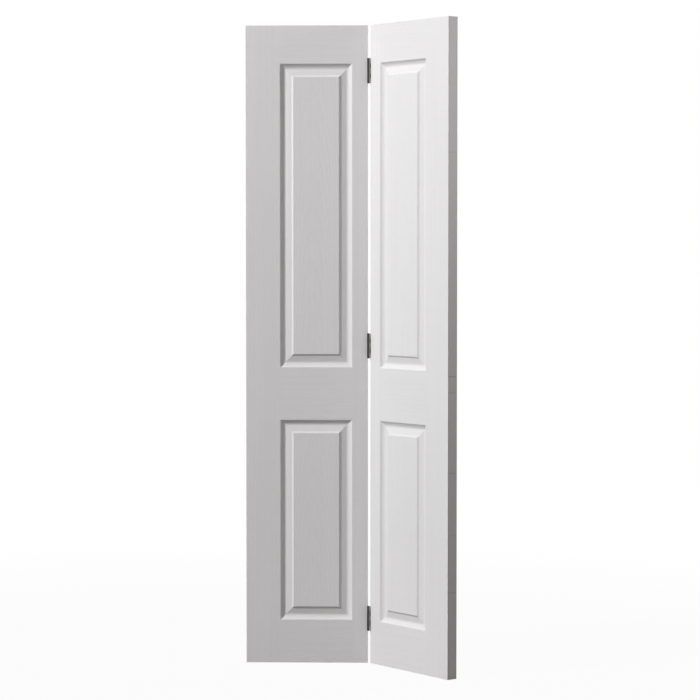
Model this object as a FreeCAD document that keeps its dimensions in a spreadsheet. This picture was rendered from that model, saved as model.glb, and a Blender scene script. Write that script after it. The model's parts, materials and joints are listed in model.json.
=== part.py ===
import FreeCAD, Part
import math
import os

import Sketcher
from FreeCAD import Placement, Rotation, Vector

# A bifold closet door: two moulded hollow-core leaves that fold on three butt hinges.
#
# Millimetres, +Z up. The origin is the mouth of the bottom pivot bore, in the middle of the
# pivot leaf's thickness. +X runs along the pivot leaf to the fold, and the hinge pins stand
# in front of the leaves, on the -Y side.
#
# Every piece is drawn in the pin frame: its origin is on the axis of the hinge pins, at the
# foot of the leaves (or of the hinge), x runs across the door when it is flat, and y runs from
# the pins into the thickness of the leaves. A hand of -1 draws for the pivot leaf and +1 for
# the lead leaf. The pieces of the lead leaf are then turned about the pins by fold_angle.

SIZES = (
    ("door_width", 762, "both leaves and the gap between them, flat"),
    ("leaf_height", 1981, "height of a leaf"),
    ("leaf_thickness", 35, "thickness of a leaf"),
    ("fold_angle", 51.3, "degrees that the lead leaf is folded from flat"),
    ("skin_thickness", 3, "moulded fibreboard skin"),
    ("top_margin", 116.5, "flat band above the upper panel"),
    ("upper_panel_height", 942.5, "upper panel over its moulding"),
    ("middle_margin", 161, "flat band between the panels"),
    ("bottom_margin", 133.5, "flat band below the lower panel"),
    ("hinge_margin", 47.5, "flat band beside the panels at the hinge edge"),
    ("outer_margin", 105, "flat band beside the panels at the outer edge"),
    ("rim_width", 2.3, "rounded rim where the face turns down into the moulding"),
    ("rim_depth", 0.8, "fall of that rim"),
    ("cove_width", 13.3, "hollow fall from the rim into the groove"),
    ("cove_radius", 27, "radius of that hollow"),
    ("groove_depth", 9.3, "depth of the groove below the face"),
    ("groove_width", 3.6, "flat bottom of the groove"),
    ("bevel_width", 17.8, "gentle rise out of the groove"),
    ("step_depth", 4.7, "depth below the face where the rise meets the step"),
    ("step_width", 5.5, "steep step up to the field"),
    ("stile_width", 38, "timber stile, both edges of a leaf"),
    ("top_rail_height", 60, "timber top rail"),
    ("middle_rail_height", 90, "timber rail between the panels"),
    ("bottom_rail_height", 60, "timber bottom rail"),
    ("core_cell", 60, "honeycomb cell, wall to wall"),
    ("core_wall", 0.5, "kraft paper wall of the honeycomb"),
    ("staple_crown", 25, "frame staple, outside its legs"),
    ("staple_leg", 12, "frame staple, length of a leg"),
    ("staple_wire", 1.4, "square wire of the staple"),
    ("staple_inset", 15, "staple from the edges of its rail"),
    ("bore_diameter", 9.5, "bore for a pivot or guide pin"),
    ("bore_depth", 40, "depth of those bores"),
    ("bore_inset", 19, "bores from the outer edge of a leaf"),
    ("hinge_height", 76, "length of a hinge"),
    ("hinge_inset", 140, "middle of the end hinges from the ends of the leaves"),
    ("plate_thickness", 2, "hinge plate and knuckle wall"),
    ("plate_reach", 25, "hinge plate, from the pin's axis"),
    ("plate_clearance", 0.2, "round a plate in its mortise"),
    ("pin_diameter", 4.7, "hinge pin"),
    ("pin_clearance", 0.05, "round a pin in its knuckles"),
    ("pin_setback", 5, "pin's axis in front of the leaves"),
    ("pin_head_diameter", 8, "heads at both ends of a pin"),
    ("pin_head_height", 1, "thickness of those heads"),
    ("pin_head_round", 0.6, "rounding of those heads"),
    ("knuckle_gap", 0.25, "between the knuckles of the two plates"),
    ("screw_length", 25, "hinge screw over its head"),
    ("screw_diameter", 3.8, "shank of the hinge screw"),
    ("screw_head_diameter", 7.4, "countersunk head of the hinge screw"),
    ("screw_tip", 5, "pointed end of the hinge screw"),
    ("screw_clearance", 0.1, "round a screw in its holes"),
    ("screw_inset", 12, "end screws from the ends of a hinge"),
    ("screw_near_reach", 12.5, "end screws from the pin's axis"),
    ("screw_far_reach", 18.5, "middle screw from the pin's axis"),
    ("recess_span", 4.4, "cross recess in a screw head"),
    ("recess_width", 1, "arms of that recess"),
    ("recess_depth", 1.4, "depth of that recess"),
)

CLOSE = 1e-6
COUNTERSINK_ANGLE = 90
KNUCKLES = 5
FIXED_KNUCKLES = (0, 2, 4)
SWING_KNUCKLES = (1, 3)
HANDS = {"pivot": -1, "lead": 1}
FACES = ("front", "back")

# Expressions over the sheet, in the pin frame.
BORE_RADIUS = "(Sizes.pin_diameter / 2 + Sizes.pin_clearance)"
BARREL_RADIUS = f"({BORE_RADIUS} + Sizes.plate_thickness)"
LEAF_WIDTH = f"(Sizes.door_width / 2 - {BORE_RADIUS})"
FRONT = "Sizes.pin_setback"
BACK = f"({FRONT} + Sizes.leaf_thickness)"
MIDDLE = f"({FRONT} + Sizes.leaf_thickness / 2)"
TIMBER_FRONT = f"({FRONT} + Sizes.skin_thickness)"
TIMBER_BACK = f"({BACK} - Sizes.skin_thickness)"
TIMBER_THICKNESS = "(Sizes.leaf_thickness - 2 * Sizes.skin_thickness)"
UPPER_HEAD = "(Sizes.leaf_height - Sizes.top_margin)"
UPPER_FOOT = f"({UPPER_HEAD} - Sizes.upper_panel_height)"
LOWER_HEAD = f"({UPPER_FOOT} - Sizes.middle_margin)"
LOWER_FOOT = "Sizes.bottom_margin"
PANELS = {"upper": (UPPER_FOOT, UPPER_HEAD), "lower": (LOWER_FOOT, LOWER_HEAD)}
COVE_START = "Sizes.rim_width"
GROOVE_START = f"({COVE_START} + Sizes.cove_width)"
BEVEL_START = f"({GROOVE_START} + Sizes.groove_width)"
STEP_START = f"({BEVEL_START} + Sizes.bevel_width)"
MOULDING_WIDTH = f"({STEP_START} + Sizes.step_width)"
RIM_RADIUS = "((Sizes.rim_width ^ 2 + Sizes.rim_depth ^ 2) / (2 * Sizes.rim_depth))"
PANEL_NEAR = "Sizes.hinge_margin"
PANEL_FAR = f"({LEAF_WIDTH} - Sizes.outer_margin)"
STILE_FAR = f"({LEAF_WIDTH} - Sizes.stile_width)"
MIDDLE_RAIL_FOOT = f"(({UPPER_FOOT} + {LOWER_HEAD} - Sizes.middle_rail_height) / 2)"
MIDDLE_RAIL_HEAD = f"({MIDDLE_RAIL_FOOT} + Sizes.middle_rail_height)"
TOP_RAIL_FOOT = "(Sizes.leaf_height - Sizes.top_rail_height)"
RAILS = {
    "top": (TOP_RAIL_FOOT, "Sizes.leaf_height"),
    "middle": (MIDDLE_RAIL_FOOT, MIDDLE_RAIL_HEAD),
    "bottom": ("0", "Sizes.bottom_rail_height"),
}
CORES = {
    "upper": (MIDDLE_RAIL_HEAD, TOP_RAIL_FOOT),
    "lower": ("Sizes.bottom_rail_height", MIDDLE_RAIL_FOOT),
}
HINGES = {
    "top": "(Sizes.leaf_height - Sizes.hinge_inset - Sizes.hinge_height / 2)",
    "middle": "(Sizes.leaf_height / 2 - Sizes.hinge_height / 2)",
    "bottom": "(Sizes.hinge_inset - Sizes.hinge_height / 2)",
}
# Height above the hinge's foot and reach from the pin's axis of each screw of a plate.
SCREWS = {
    "lower": ("Sizes.screw_inset", "Sizes.screw_near_reach"),
    "middle": ("(Sizes.hinge_height / 2)", "Sizes.screw_far_reach"),
    "upper": ("(Sizes.hinge_height - Sizes.screw_inset)", "Sizes.screw_near_reach"),
}
PIN_X = f"({LEAF_WIDTH} + {BORE_RADIUS} - Sizes.bore_inset)"
PIN_Y = f"(-{MIDDLE})"

doc = FreeCAD.newDocument("bifold_closet_door")
sheet = doc.addObject("Spreadsheet::Sheet", "Sizes")
nodes = []


def fill_sheet():
    """Write each size, its alias and its meaning into a row of the sheet."""
    for row, (alias, value, meaning) in enumerate(SIZES, start=1):
        sheet.set(f"A{row}", meaning)
        sheet.set(f"B{row}", str(value))
        sheet.setAlias(f"B{row}", alias)
    doc.recompute()


def number(expression):
    """Value of an expression over the sheet."""
    return float(sheet.evalExpression(expression))


def across(hand, distance):
    """x of a line that lies a distance from a leaf's hinge edge, into the leaf."""
    return f"({hand} * ({BORE_RADIUS} + {distance}))"


def below(face, depth):
    """y of a surface that lies a depth below the front or back face of a leaf."""
    if face == "front":
        return f"({FRONT} + {depth})"
    return f"({BACK} - {depth})"


def add_body(name, several=False):
    """A PartDesign body, which may hold several solids."""
    body = doc.addObject("PartDesign::Body", name)
    body.AllowCompound = several
    return body


def add_sketch(body, name, plane, offset="0"):
    """A sketch on one of the body's origin planes, moved by an offset along the plane's axis."""
    sketch = body.newObject("Sketcher::SketchObject", name)
    origin = next(item for item in body.Origin.OriginFeatures if item.Role == f"{plane}_Plane")
    sketch.AttachmentSupport = [(origin, "")]
    sketch.MapMode = "FlatFace"
    # The XZ plane's normal points to -Y, and the others point along their own axis.
    sign = "-" if plane == "XZ" else ""
    sketch.setExpression(".AttachmentOffset.Base.z", f"{sign}({offset})")
    return sketch


def constrain(sketch, constraints):
    """Add constraints to a sketch and bind the measured ones, given as pairs with an expression."""
    first = sketch.ConstraintCount
    sketch.addConstraint([constraint for constraint, expression in constraints])
    for index, (constraint, expression) in enumerate(constraints, start=first):
        if expression is not None:
            sketch.setExpression(f"Constraints[{index}]", expression)


def pinned(edge, end, corner):
    """Constraints that hold a sketch point at a corner, which is a pair of expressions."""
    return [
        (Sketcher.Constraint(kind, -1, 1, edge, end, number(expression)), expression)
        for kind, expression in zip(("DistanceX", "DistanceY"), corner)
    ]


def add_outline(sketch, corners, arcs=None):
    """Draw a closed outline through corners, each held at a pair of expressions.

    arcs gives, for the edge that leaves a corner, a radius and a point that the arc passes.
    """
    arcs = arcs or {}
    points = [Vector(number(run), number(rise), 0) for run, rise in corners]
    first = sketch.GeometryCount
    constraints = []
    ends = []
    for index, start in enumerate(points):
        finish = points[(index + 1) % len(points)]
        if index in arcs:
            radius, through = arcs[index]
            edge = sketch.addGeometry(Part.Arc(start, through, finish), False)
            constraints.append((Sketcher.Constraint("Radius", edge, number(radius)), radius))
        else:
            edge = sketch.addGeometry(Part.LineSegment(start, finish), False)
        distances = [sketch.getPoint(edge, end).distanceToPoint(start) for end in (1, 2)]
        ends.append((1, 2) if distances[0] < distances[1] else (2, 1))
    for index, corner in enumerate(corners):
        after = (index + 1) % len(points)
        joint = (first + index, ends[index][1], first + after, ends[after][0])
        constraints.append((Sketcher.Constraint("Coincident", *joint), None))
        constraints += pinned(first + index, ends[index][0], corner)
    constrain(sketch, constraints)


def add_rectangle(sketch, left, right, foot, head):
    """Draw a rectangle between two pairs of expressions."""
    add_outline(sketch, ((left, foot), (right, foot), (right, head), (left, head)))


def add_circle(sketch, run, rise, radius):
    """Draw a circle whose centre and radius are expressions."""
    centre = Vector(number(run), number(rise), 0)
    edge = sketch.addGeometry(Part.Circle(centre, Vector(0, 0, 1), number(radius)), False)
    size = (Sketcher.Constraint("Radius", edge, number(radius)), radius)
    constrain(sketch, [size, *pinned(edge, 3, (run, rise))])


def add_pad(body, name, sketch, length, reverse=False):
    """Pad a sketch along its normal, or against it."""
    pad = body.newObject("PartDesign::Pad", name)
    pad.Profile = sketch
    pad.setExpression("Length", length)
    pad.Reversed = reverse
    doc.recompute()
    return pad


def check_cut(body, feature, volume):
    """Stop if a cut took nothing away."""
    doc.recompute()
    if body.Shape.Volume >= volume:
        raise RuntimeError(f"{feature.Name} cuts nothing from {body.Label}")


def add_pocket(body, name, sketch, depth, reverse=False):
    """Cut a sketch against its normal, or along it."""
    volume = body.Shape.Volume
    pocket = body.newObject("PartDesign::Pocket", name)
    pocket.Profile = sketch
    pocket.setExpression("Length", depth)
    pocket.Reversed = reverse
    check_cut(body, pocket, volume)


def place_on_leaf(item, leaf, foot="0"):
    """Set a piece of a leaf in the row frame, at a height above the foot of the leaves."""
    if leaf == "lead":
        item.Placement = Placement(Vector(), Rotation(Vector(0, 0, -1), number("Sizes.fold_angle")))
        item.setExpression(".Placement.Rotation.Angle", "Sizes.fold_angle")
    item.setExpression(".Placement.Base.x", PIN_X)
    item.setExpression(".Placement.Base.y", PIN_Y)
    item.setExpression(".Placement.Base.z", foot)


def add_node(item, label):
    """Name a finished piece and list it for writing."""
    item.Label = label
    nodes.append(item)


def arc_middle(start, end, radius, toward):
    """Middle of the shorter arc between two points that bulges toward a direction."""
    chord = end - start
    rise = radius - math.sqrt(radius**2 - (chord.Length / 2) ** 2)
    square = Vector(-chord.y, chord.x, 0).normalize()
    if square.dot(toward) < 0:
        square = -square
    return start + chord / 2 + square * rise


# Skins ---------------------------------------------------------------------------------------


def add_moulding(body, leaf_hand, face, panel, foot, head):
    """Sweep the panel moulding round its rectangle, with mitred corners."""
    name = f"{body.Name}_{panel}"
    path = add_sketch(body, f"{name}_path", "XZ", below(face, "0"))
    near = across(leaf_hand, PANEL_NEAR)
    far = across(leaf_hand, PANEL_FAR)
    add_rectangle(path, near, far, foot, head)

    profile = add_sketch(body, f"{name}_profile", "XY", f"(({foot} + {head}) / 2)")
    surface = (
        ("0", "0"),
        (COVE_START, "Sizes.rim_depth"),
        (GROOVE_START, "Sizes.groove_depth"),
        (BEVEL_START, "Sizes.groove_depth"),
        (STEP_START, "Sizes.step_depth"),
        (MOULDING_WIDTH, "0"),
    )
    outer = [(across(leaf_hand, f"{PANEL_NEAR} + {run}"), below(face, depth)) for run, depth in surface]
    inner = [
        (across(leaf_hand, f"{PANEL_NEAR} + {run}"), below(face, f"({depth} + Sizes.skin_thickness)"))
        for run, depth in surface
    ]
    corners = outer + inner[::-1]
    points = [Vector(number(run), number(depth), 0) for run, depth in corners]
    outward = Vector(0, -1 if face == "front" else 1, 0)
    # The rim bulges out of the face and the cove into it, first on the skin and then under it.
    last = len(corners) - 2
    bends = {
        0: (RIM_RADIUS, outward),
        1: ("Sizes.cove_radius", -outward),
        last - 1: ("Sizes.cove_radius", -outward),
        last: (RIM_RADIUS, outward),
    }
    arcs = {
        edge: (radius, arc_middle(points[edge], points[edge + 1], number(radius), toward))
        for edge, (radius, toward) in bends.items()
    }
    add_outline(profile, corners, arcs)
    doc.recompute()

    moulding = body.newObject("PartDesign::AdditivePipe", f"{name}_moulding")
    moulding.Profile = (profile, [""])
    moulding.Spine = (path, [""])
    moulding.Transition = "Right corner"
    doc.recompute()


def make_skin(leaf, face):
    """A moulded skin: a sheet with two raised and fielded panels pressed into it."""
    hand = HANDS[leaf]
    inward = face == "front"
    body = add_body(f"{leaf}_{face}_skin")
    flat = add_sketch(body, f"{body.Name}_outline", "XZ", below(face, "0"))
    add_rectangle(flat, across(hand, "0"), across(hand, LEAF_WIDTH), "0", "Sizes.leaf_height")
    for foot, head in PANELS.values():
        add_rectangle(flat, across(hand, PANEL_NEAR), across(hand, PANEL_FAR), foot, head)
    add_pad(body, f"{body.Name}_flat", flat, "Sizes.skin_thickness", inward)

    for panel, (foot, head) in PANELS.items():
        add_moulding(body, hand, face, panel, foot, head)
    fields = add_sketch(body, f"{body.Name}_field_outlines", "XZ", below(face, "0"))
    for foot, head in PANELS.values():
        add_rectangle(
            fields,
            across(hand, f"{PANEL_NEAR} + {MOULDING_WIDTH}"),
            across(hand, f"{PANEL_FAR} - {MOULDING_WIDTH}"),
            f"({foot} + {MOULDING_WIDTH})",
            f"({head} - {MOULDING_WIDTH})",
        )
    add_pad(body, f"{body.Name}_fields", fields, "Sizes.skin_thickness", inward)

    if face == "front":
        notches = add_sketch(body, f"{body.Name}_notch_outlines", "YZ", across(hand, "0"))
        for foot in HINGES.values():
            add_plate_outline(notches, foot)
        add_pocket(body, f"{body.Name}_notches", notches, "Sizes.plate_thickness", hand > 0)
    place_on_leaf(body, leaf)
    add_node(body, f"{leaf}_{face}_skin")


def add_plate_outline(sketch, foot):
    """Outline of a hinge plate on the edge of a leaf, with its clearance."""
    reach = "(Sizes.plate_reach + Sizes.plate_clearance)"
    low = f"({foot} - Sizes.plate_clearance)"
    high = f"({foot} + Sizes.hinge_height + Sizes.plate_clearance)"
    add_rectangle(sketch, "0", reach, low, high)


# Timber frame --------------------------------------------------------------------------------


def add_box(name, corner, length, width, height):
    """A Part box whose low corner and sizes are expressions."""
    box = doc.addObject("Part::Box", name)
    for axis, place in zip("xyz", corner):
        box.setExpression(f".Placement.Base.{axis}", place)
    for side, size in zip(("Length", "Width", "Height"), (length, width, height)):
        box.setExpression(side, size)
    return box


def staple_boxes(name, face, left, foot):
    """Crown and legs of one staple, driven flush into the front or back of the timbers."""
    wire = "Sizes.staple_wire"
    leg = "Sizes.staple_leg"
    far = f"({left} + Sizes.staple_crown - {wire})"
    sections = (
        ("crown", left, "Sizes.staple_crown", wire),
        ("near_leg", left, wire, leg),
        ("far_leg", far, wire, leg),
    )
    boxes = []
    for section, place, length, depth in sections:
        start = TIMBER_FRONT if face == "front" else f"({TIMBER_BACK} - {depth})"
        boxes.append(add_box(f"{name}_{section}", (place, start, foot), length, depth, wire))
    return boxes


def make_staples(leaf):
    """The staples that hold the rails to the stiles, one group of separate solids."""
    hand = HANDS[leaf]
    boxes = []
    for edge, seam in (("hinge", "Sizes.stile_width"), ("outer", STILE_FAR)):
        left = f"({across(hand, seam)} - Sizes.staple_crown / 2)"
        for rail, (foot, head) in RAILS.items():
            heights = {"low": f"({foot} + Sizes.staple_inset)", "high": f"({head} - Sizes.staple_inset)"}
            for place, height in heights.items():
                for face in FACES:
                    name = f"{leaf}_{rail}_{edge}_{place}_{face}_staple"
                    boxes += staple_boxes(name, face, left, f"({height} - Sizes.staple_wire / 2)")
    staples = doc.addObject("Part::MultiFuse", f"{leaf}_frame_staples")
    staples.Shapes = boxes
    place_on_leaf(staples, leaf)
    doc.recompute()
    add_node(staples, f"{leaf}_frame_staples")
    return staples


def add_timber(blank, leaf, staples, label):
    """Set a timber in its leaf and cut the seats of the staples into it."""
    place_on_leaf(blank, leaf)
    timber = doc.addObject("Part::Cut", label)
    timber.Base = blank
    timber.Tool = staples
    doc.recompute()
    add_node(timber, label)


def make_rails(leaf, staples):
    """Top, middle and bottom rails, between the stiles."""
    hand = HANDS[leaf]
    for rail, (foot, head) in RAILS.items():
        blank = add_body(f"{leaf}_{rail}_rail_blank")
        outline = add_sketch(blank, f"{blank.Name}_outline", "XZ", TIMBER_FRONT)
        add_rectangle(outline, across(hand, "Sizes.stile_width"), across(hand, STILE_FAR), foot, head)
        add_pad(blank, f"{blank.Name}_pad", outline, TIMBER_THICKNESS, True)
        add_timber(blank, leaf, staples, f"{leaf}_{rail}_rail")


def make_stile_blank(leaf, edge, near, far):
    """A full-height stile between two distances from the hinge edge."""
    hand = HANDS[leaf]
    blank = add_body(f"{leaf}_{edge}_stile_blank")
    section = add_sketch(blank, f"{blank.Name}_section", "XY")
    add_rectangle(section, across(hand, near), across(hand, far), TIMBER_FRONT, TIMBER_BACK)
    add_pad(blank, f"{blank.Name}_pad", section, "Sizes.leaf_height")
    return blank


def make_hinge_stile(leaf, staples):
    """The stile at the fold, with mortises for the plates and pilot holes for the screws."""
    hand = HANDS[leaf]
    blank = make_stile_blank(leaf, "hinge", "0", "Sizes.stile_width")
    mortises = add_sketch(blank, f"{blank.Name}_mortise_outlines", "YZ", across(hand, "0"))
    pilots = add_sketch(blank, f"{blank.Name}_pilot_circles", "YZ", across(hand, "0"))
    for foot in HINGES.values():
        add_plate_outline(mortises, foot)
        for height, reach in SCREWS.values():
            radius = "(Sizes.screw_diameter / 2 + Sizes.screw_clearance)"
            add_circle(pilots, reach, f"({foot} + {height})", radius)
    add_pocket(blank, f"{blank.Name}_mortises", mortises, "Sizes.plate_thickness", hand > 0)
    depth = "Sizes.screw_length + Sizes.screw_clearance"
    add_pocket(blank, f"{blank.Name}_pilots", pilots, depth, hand > 0)
    add_timber(blank, leaf, staples, f"{leaf}_hinge_stile")


def make_outer_stile(leaf, staples, bored_ends):
    """The stile at the free edge, bored in its ends for pivot or guide pins."""
    hand = HANDS[leaf]
    blank = make_stile_blank(leaf, "outer", STILE_FAR, LEAF_WIDTH)
    for end in bored_ends:
        height = "Sizes.leaf_height" if end == "top" else "0"
        mouth = add_sketch(blank, f"{blank.Name}_{end}_mouth", "XY", height)
        place = across(hand, f"{LEAF_WIDTH} - Sizes.bore_inset")
        add_circle(mouth, place, MIDDLE, "(Sizes.bore_diameter / 2)")
        doc.recompute()
        volume = blank.Shape.Volume
        bore = blank.newObject("PartDesign::Hole", f"{blank.Name}_{end}_bore")
        bore.Profile = mouth
        bore.DepthType = "Dimension"
        bore.DrillPoint = "Flat"
        bore.setExpression("Diameter", "Sizes.bore_diameter")
        bore.setExpression("Depth", "Sizes.bore_depth")
        bore.Reversed = end == "bottom"
        check_cut(blank, bore, volume)
    add_timber(blank, leaf, staples, f"{leaf}_outer_stile")


# Honeycomb core ------------------------------------------------------------------------------


def rectangle_wire(left, right, foot, head):
    """A closed rectangle in the plane y = 0."""
    corners = ((left, foot), (right, foot), (right, head), (left, head), (left, foot))
    return Part.makePolygon([Vector(x, 0, z) for x, z in corners])


def hexagon_face(x, z, radius):
    """A hexagon in the plane y = 0 that stands on a corner."""
    turn = math.pi / 3
    angles = [turn / 2 + turn * corner for corner in range(6)]
    corners = [Vector(x + radius * math.cos(angle), 0, z + radius * math.sin(angle)) for angle in angles]
    return Part.Face(Part.makePolygon([*corners, corners[0]]))


def cell_faces(left, right, foot, head):
    """The open cells of the honeycomb inside a rectangle, whole and cut off at its sides."""
    cell = number("Sizes.core_cell")
    wall = number("Sizes.core_wall")
    radius = (cell - wall) / math.sqrt(3)
    row_height = cell * math.sqrt(3) / 2
    room = Part.Face(rectangle_wire(left + wall, right - wall, foot + wall, head - wall))
    cells = []
    for row in range(int((head - foot) / row_height) + 2):
        for column in range(int((right - left) / cell) + 2):
            whole = hexagon_face(left + (column + row % 2 / 2) * cell, foot + row * row_height, radius)
            cut = whole.common(room)
            # Scraps narrower than a wall are left as paper.
            cells += [face for face in cut.Faces if face.Area > wall * cell]
    return cells


def moulding_channels(panel, hand):
    """Rings in which the core is crushed by the moulding of the front and back skins."""
    foot, head = (number(value) for value in PANELS[panel])
    left, right = sorted(number(across(hand, edge)) for edge in (PANEL_NEAR, PANEL_FAR))
    width = number(MOULDING_WIDTH)
    depth = number("Sizes.groove_depth")
    rings = []
    for start in (number(TIMBER_FRONT), number(TIMBER_BACK) - depth):
        ring = Part.makeBox(right - left, depth, head - foot, Vector(left, start, foot))
        field_corner = Vector(left + width, start, foot + width)
        field = Part.makeBox(right - left - 2 * width, depth, head - foot - 2 * width, field_corner)
        rings.append(ring.cut(field))
    return rings


def core_shape(panel):
    """Honeycomb that fills the pivot leaf's frame beside a panel, between its skins."""
    foot, head = (number(value) for value in CORES[panel])
    hand = HANDS["pivot"]
    left, right = sorted(number(across(hand, edge)) for edge in ("Sizes.stile_width", STILE_FAR))
    wires = [rectangle_wire(left, right, foot, head)]
    wires += [cell.OuterWire for cell in cell_faces(left, right, foot, head)]
    lattice = Part.makeFace(Part.makeCompound(wires), "Part::FaceMakerBullseye")
    lattice.translate(Vector(0, number(TIMBER_FRONT), 0))
    block = lattice.extrude(Vector(0, number(TIMBER_THICKNESS), 0))
    return block.cut(moulding_channels(panel, hand)).Solids[0]


def make_cores():
    """Both cores of both leaves: those of the lead leaf are the pivot leaf's, mirrored."""
    for panel in CORES:
        pivot_shape = core_shape(panel)
        shapes = {"pivot": pivot_shape, "lead": pivot_shape.mirror(Vector(), Vector(1, 0, 0))}
        for leaf, shape in shapes.items():
            core = doc.addObject("Part::Feature", f"{leaf}_{panel}_core")
            core.Shape = shape
            place_on_leaf(core, leaf)
            add_node(core, f"{leaf}_{panel}_core")


# Hinges --------------------------------------------------------------------------------------


def make_plate(hinge, kind, leaf, knuckles):
    """One half of a hinge: its plate, its knuckles and the holes for its screws."""
    hand = HANDS[leaf]
    body = add_body(f"{hinge}_hinge_{kind}_leaf")
    section = add_sketch(body, f"{body.Name}_section", "XY")
    outer_x = f"({hand} * {BARREL_RADIUS})"
    inner_x = f"({hand} * {BORE_RADIUS})"
    meeting = f"sqrt({BARREL_RADIUS} ^ 2 - {BORE_RADIUS} ^ 2)"
    end = "Sizes.plate_reach"
    corners = ((outer_x, "0"), (outer_x, end), (inner_x, end), (inner_x, meeting))
    far_side = -Vector(number(outer_x) + number(inner_x), number(meeting), 0).normalize()
    arcs = {3: (BARREL_RADIUS, far_side * number(BARREL_RADIUS))}
    add_outline(section, corners, arcs)
    add_circle(section, "0", "0", BORE_RADIUS)
    add_pad(body, f"{body.Name}_pad", section, "Sizes.hinge_height")

    # Room for the knuckles of the other half: they are shorter on the swing leaf.
    margin = "Sizes.knuckle_gap" if kind == "swing" else "0"
    pitch = f"(Sizes.hinge_height / {KNUCKLES})"
    room = add_sketch(body, f"{body.Name}_knuckle_room", "YZ", f"(-2 * {BARREL_RADIUS})")
    for slot in range(KNUCKLES):
        if slot not in knuckles:
            low = f"({slot} * {pitch} - {margin})"
            high = f"({slot + 1} * {pitch} + {margin})"
            reach = f"({BARREL_RADIUS} + Sizes.knuckle_gap)"
            add_rectangle(room, f"(-2 * {BARREL_RADIUS})", reach, low, high)
    add_pocket(body, f"{body.Name}_knuckle_cuts", room, f"4 * {BARREL_RADIUS}", True)

    holes = add_sketch(body, f"{body.Name}_hole_circles", "YZ", inner_x)
    hole_radius = "(Sizes.screw_diameter / 2 + Sizes.screw_clearance)"
    for height, reach in SCREWS.values():
        add_circle(holes, reach, height, hole_radius)
    doc.recompute()
    volume = body.Shape.Volume
    countersinks = body.newObject("PartDesign::Hole", f"{body.Name}_countersinks")
    countersinks.Profile = holes
    countersinks.DepthType = "ThroughAll"
    countersinks.HoleCutType = "Countersink"
    countersinks.HoleCutCustomValues = True
    countersinks.HoleCutCountersinkAngle = COUNTERSINK_ANGLE
    countersinks.setExpression("Diameter", "Sizes.screw_diameter + 2 * Sizes.screw_clearance")
    countersinks.setExpression("HoleCutDiameter", "Sizes.screw_head_diameter + 2 * Sizes.screw_clearance")
    countersinks.Reversed = hand > 0
    check_cut(body, countersinks, volume)
    place_on_leaf(body, leaf, HINGES[hinge])
    add_node(body, f"{hinge}_hinge_{kind}_leaf")


def make_screws(hinge, kind, leaf):
    """The three countersunk screws of a plate, one group of separate solids."""
    hand = HANDS[leaf]
    body = add_body(f"{hinge}_hinge_{kind}_screws", several=True)
    head = "(Sizes.screw_head_diameter / 2)"
    shank = "(Sizes.screw_diameter / 2)"
    top = across(hand, "0")
    neck = across(hand, f"({head} - {shank})")
    taper = across(hand, "(Sizes.screw_length - Sizes.screw_tip)")
    tip = across(hand, "Sizes.screw_length")
    for screw, (height, reach) in SCREWS.items():
        name = f"{body.Name}_{screw}"
        profile = add_sketch(body, f"{name}_profile", "XY", height)
        profile.setExpression(".AttachmentOffset.Base.y", reach)
        add_outline(profile, ((top, "0"), (top, head), (neck, shank), (taper, shank), (tip, "0")))
        doc.recompute()
        turned = body.newObject("PartDesign::Revolution", f"{name}_turned")
        turned.Profile = profile
        turned.ReferenceAxis = (profile, ["H_Axis"])
        doc.recompute()

        recess = add_sketch(body, f"{name}_recess_outline", "YZ", top)
        recess.setExpression(".AttachmentOffset.Base.x", reach)
        recess.setExpression(".AttachmentOffset.Base.y", height)
        arm = "(Sizes.recess_span / 2)"
        side = "(Sizes.recess_width / 2)"
        quarter = ((arm, side), (side, side), (side, arm))
        signs = ((1, 1), (-1, 1), (-1, -1), (1, -1))
        cross = []
        for turn, (sign_x, sign_y) in enumerate(signs):
            order = quarter if turn % 2 == 0 else quarter[::-1]
            cross += [(f"({sign_x} * {x})", f"({sign_y} * {y})") for x, y in order]
        add_outline(recess, cross)
        add_pocket(body, f"{name}_recess", recess, "Sizes.recess_depth", hand > 0)
    place_on_leaf(body, leaf, HINGES[hinge])
    add_node(body, f"{hinge}_hinge_{kind}_screws")


def make_pin(hinge):
    """A pin through the knuckles, with a rounded head at each end."""
    body = add_body(f"{hinge}_hinge_pin")
    shank = "(Sizes.pin_diameter / 2)"
    head = "(Sizes.pin_head_diameter / 2)"
    low = "(-Sizes.pin_head_height)"
    high = "Sizes.hinge_height"
    top = "(Sizes.hinge_height + Sizes.pin_head_height)"
    profile = add_sketch(body, f"{body.Name}_profile", "XZ")
    lower_half = (("0", low), (head, low), (head, "0"), (shank, "0"))
    upper_half = ((shank, high), (head, high), (head, top), ("0", top))
    add_outline(profile, lower_half + upper_half)
    doc.recompute()
    turned = body.newObject("PartDesign::Revolution", f"{body.Name}_turned")
    turned.Profile = profile
    turned.ReferenceAxis = (profile, ["V_Axis"])
    doc.recompute()
    ends = (number(low), number(top))
    rims = [
        f"Edge{index}"
        for index, edge in enumerate(turned.Shape.Edges, start=1)
        if edge.BoundBox.ZLength < CLOSE and min(abs(edge.CenterOfMass.z - end) for end in ends) < CLOSE
    ]
    rounding = body.newObject("PartDesign::Fillet", f"{body.Name}_rounding")
    rounding.Base = (turned, rims)
    rounding.setExpression("Radius", "Sizes.pin_head_round")
    doc.recompute()
    place_on_leaf(body, "pivot", HINGES[hinge])
    add_node(body, f"{hinge}_hinge_pin")


# Assembly ------------------------------------------------------------------------------------


def make_leaf(leaf, bored_ends):
    """Everything of one leaf except its cores."""
    for face in FACES:
        make_skin(leaf, face)
    staples = make_staples(leaf)
    make_rails(leaf, staples)
    make_hinge_stile(leaf, staples)
    make_outer_stile(leaf, staples, bored_ends)


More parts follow.
